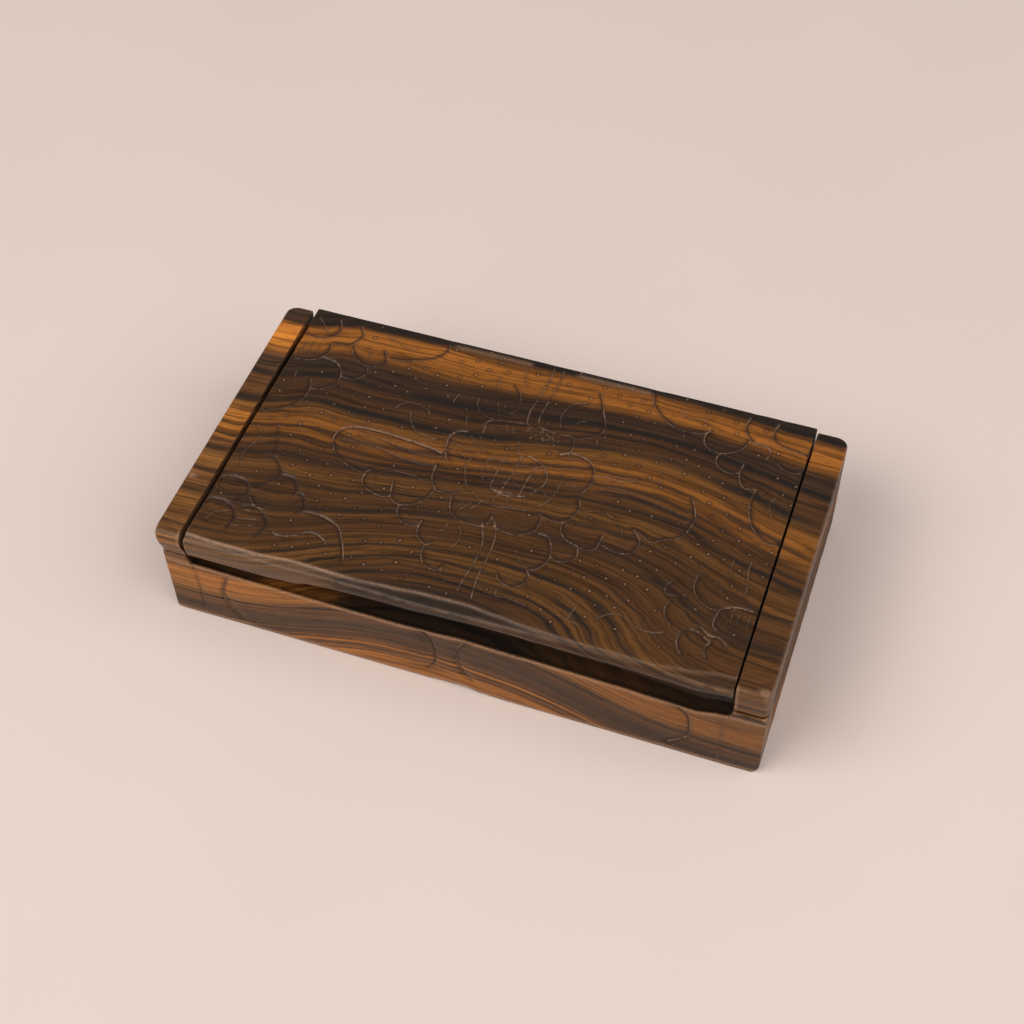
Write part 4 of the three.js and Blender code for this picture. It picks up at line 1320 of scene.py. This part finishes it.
def ebony_material(name, groups, wood, wear):
    material, w, shader = new_material(name)
    grain = w.node("ShaderNodeGroup", node_tree=groups["ebony"])
    finish = w.node("ShaderNodeGroup", node_tree=groups["wax"])
    for node, values in ((grain, wood), (finish, wear)):
        for socket, value in values.items():
            node.inputs[socket].default_value = value
    w.feed(finish, "Color", grain.outputs["Color"])
    height = w.plus(w.times(grain.outputs["Height"], 0.3), finish.outputs["Height"])
    relief = w.node("ShaderNodeBump", {"Strength": 0.35, "Distance": 0.15 * MM, "Height": height})
    w.feed(shader, "Base Color", finish.outputs["Color"])
    w.feed(shader, "Roughness", finish.outputs["Roughness"])
    w.feed(shader, "Normal", relief.outputs[0])
    shader.inputs["Specular IOR Level"].default_value = 0.24
    shader.inputs["Coat Weight"].default_value = 0.05
    shader.inputs["Coat Roughness"].default_value = 0.22
    return material


def wire_material():
    """Dull drawn steel, a little stained."""
    material, w, shader = new_material("drawn_wire")
    place = w.scaled(w.node("ShaderNodeTexCoord").outputs["Object"], 1 / MM)
    drawn = w.noise(w.vector("MULTIPLY", place, (0.15, 9, 9)), 1.0, 2.0)
    stain = w.fade(w.noise(place, 0.6, 3.0), 0.5, 0.7)
    w.feed(shader, "Base Color", w.mix(stain, (0.42, 0.41, 0.39, 1), (0.12, 0.075, 0.045, 1)))
    w.feed(shader, "Roughness", w.fade(drawn, 0.3, 0.7, 0.3, 0.55))
    w.feed(shader, "Normal", w.node("ShaderNodeBump", {
        "Strength": 0.3, "Distance": 0.05 * MM, "Height": drawn,
    }).outputs[0])
    shader.inputs["Metallic"].default_value = 1
    return material


def cloth_material():
    material, w, shader = new_material("pale_floor")
    place = w.node("ShaderNodeTexCoord").outputs["Object"]
    mottle = w.noise(place, 9.0, 3.0)
    w.feed(shader, "Base Color", w.mix(mottle, (0.72, 0.61, 0.56, 1), (0.76, 0.645, 0.595, 1)))
    shader.inputs["Roughness"].default_value = 0.9
    shader.inputs["Specular IOR Level"].default_value = 0.2
    return material


# ------------------------------------------------------------------ camera, light and floor
CAMERA_AT = (119.6, -312.05, 441.2)
CAMERA_TOWARDS = (-0.93, 5.1, 19.8)
CAMERA_ROLL = -1.78
LENS = 59.98

# Soft boxes round the table: name, place and size in metres, power, colour.
LIGHTS = [
    ("key", (-1.0, -1.1, 1.65), (1.7, 1.3), 31, (1.0, 0.97, 0.94)),
    ("fill", (1.3, -0.3, 1.45), (2.0, 1.6), 22.5, (1.0, 0.97, 0.94)),
    ("low_sheen", (-0.9, -1.9, 0.35), (0.8, 0.3), 3.3, (1.0, 0.98, 0.96)),
]
FLOOR_HALF = 4


def add_camera():
    data = bpy.data.cameras.new("camera")
    data.lens = LENS
    data.sensor_width = 36
    camera = placed("camera", data)
    forward = (Vector(CAMERA_TOWARDS) - Vector(CAMERA_AT)).normalized()
    level = forward.cross(Vector((0, 0, 1))).normalized()
    right = Matrix.Rotation(-math.radians(CAMERA_ROLL), 3, forward) @ level
    up = right.cross(forward)
    turn = Matrix((right, up, -forward)).transposed().to_4x4()
    camera.matrix_world = Matrix.Translation(Vector(CAMERA_AT) * MM) @ turn
    bpy.context.scene.camera = camera


def add_light(name, place, size, power, colour):
    data = bpy.data.lights.new(name, "AREA")
    data.shape = "RECTANGLE"
    data.size, data.size_y = size
    data.energy = power
    data.color = colour
    light = placed(name, data)
    place = Vector(place)
    light.location = place
    light.rotation_euler = (-place).to_track_quat("-Z", "Y").to_euler()


def add_stage():
    half = FLOOR_HALF
    mesh = bpy.data.meshes.new("floor")
    corners = [(-half, -half, 0), (half, -half, 0), (half, half, 0), (-half, half, 0)]
    mesh.from_pydata(corners, [], [(0, 1, 2, 3)])
    floor = placed("floor", mesh)
    floor.data.materials.append(cloth_material())
    world = bpy.data.worlds.new("studio")
    world.use_nodes = True
    background = world.node_tree.nodes["Background"]
    background.inputs["Color"].default_value = (1.0, 0.97, 0.95, 1)
    background.inputs["Strength"].default_value = 0.3
    bpy.context.scene.world = world
    for light in LIGHTS:
        add_light(*light)


# ------------------------------------------------------------------ assembly
def show(piece, body, node):
    shade(piece)
    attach(piece, body)
    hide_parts(node)


def on_lid(points):
    """Plan points of the carving, laid on the lid's top."""
    top = np.full(len(points), TOP)
    heel = points[:, 1] + FRONT - (HINGE_Y + HINGE_RADIUS - BACK_HEEL)
    top -= np.where(heel > 0, round_over(np.maximum(BACK_HEEL - heel, 0), BACK_HEEL), 0)
    return np.column_stack([points[:, 0] + LEFT, points[:, 1] + FRONT, top])


def on_front(points):
    x = points[:, 0] + LEFT
    return np.column_stack([x, FRONT - front_swell(x), points[:, 1]])


def set_view():
    bpy.context.scene.view_settings.view_transform = "Standard"


def main():
    set_view()
    add_camera()
    add_stage()
    groups = {"ebony": ebony_group(), "wax": wax_wear_and_painted_light_group()}
    # The pieces share one wood; their lightness is partly their own tone and partly painted light, and
    # each darkens to the right as painted shade.
    lid_wood = ebony_material("lid_ebony", groups, {"Lightness": 0.77, "Painted Light At Right": 0.95}, {})
    tray_wood = ebony_material("tray_ebony", groups, {"Lightness": 1.65, "Painted Light At Right": 0.6},
                               {"Rubbed Edges": 0.7, "Sheen Of Wax": 0.42})
    cap_wood = ebony_material("cap_ebony", groups, {"Lightness": 1.62, "Painted Light At Right": 0.55},
                              {"Rubbed Edges": 0.6})
    steel = wire_material()
    tree = carving_tree()

    lid_lines = cut_lines("lid_cuts", LID_CUTS + weave() + stipple(), on_lid)
    front_lines = cut_lines("front_cuts", FRONT_FACE, on_front)
    pieces = [
        (lid_mesh(), "lid", "lid",
         {"Cuts": lid_lines, "Punch Density": 200000.0, "Finish": lid_wood}),
        (tray_mesh(), "box", "tray",
         {"Cuts": front_lines, "Finish": tray_wood}),
        (left_end_cap(), "box", "left_end_cap", {"Finish": cap_wood}),
        (right_end_cap(), "box", "right_end_cap", {"Finish": cap_wood}),
    ]
    for piece, body, node, settings in pieces:
        finished_by(tree, piece, settings)
        keep_inside(piece)
        mark_wear(piece)
        show(piece, body, node)
    for lines in (lid_lines, front_lines):
        bpy.data.objects.remove(lines)
    for name in ("left_hinge_pin", "right_hinge_pin"):
        wire = pin(name)
        wire.data.materials.append(steel)
        show(wire, "box", name)


main()
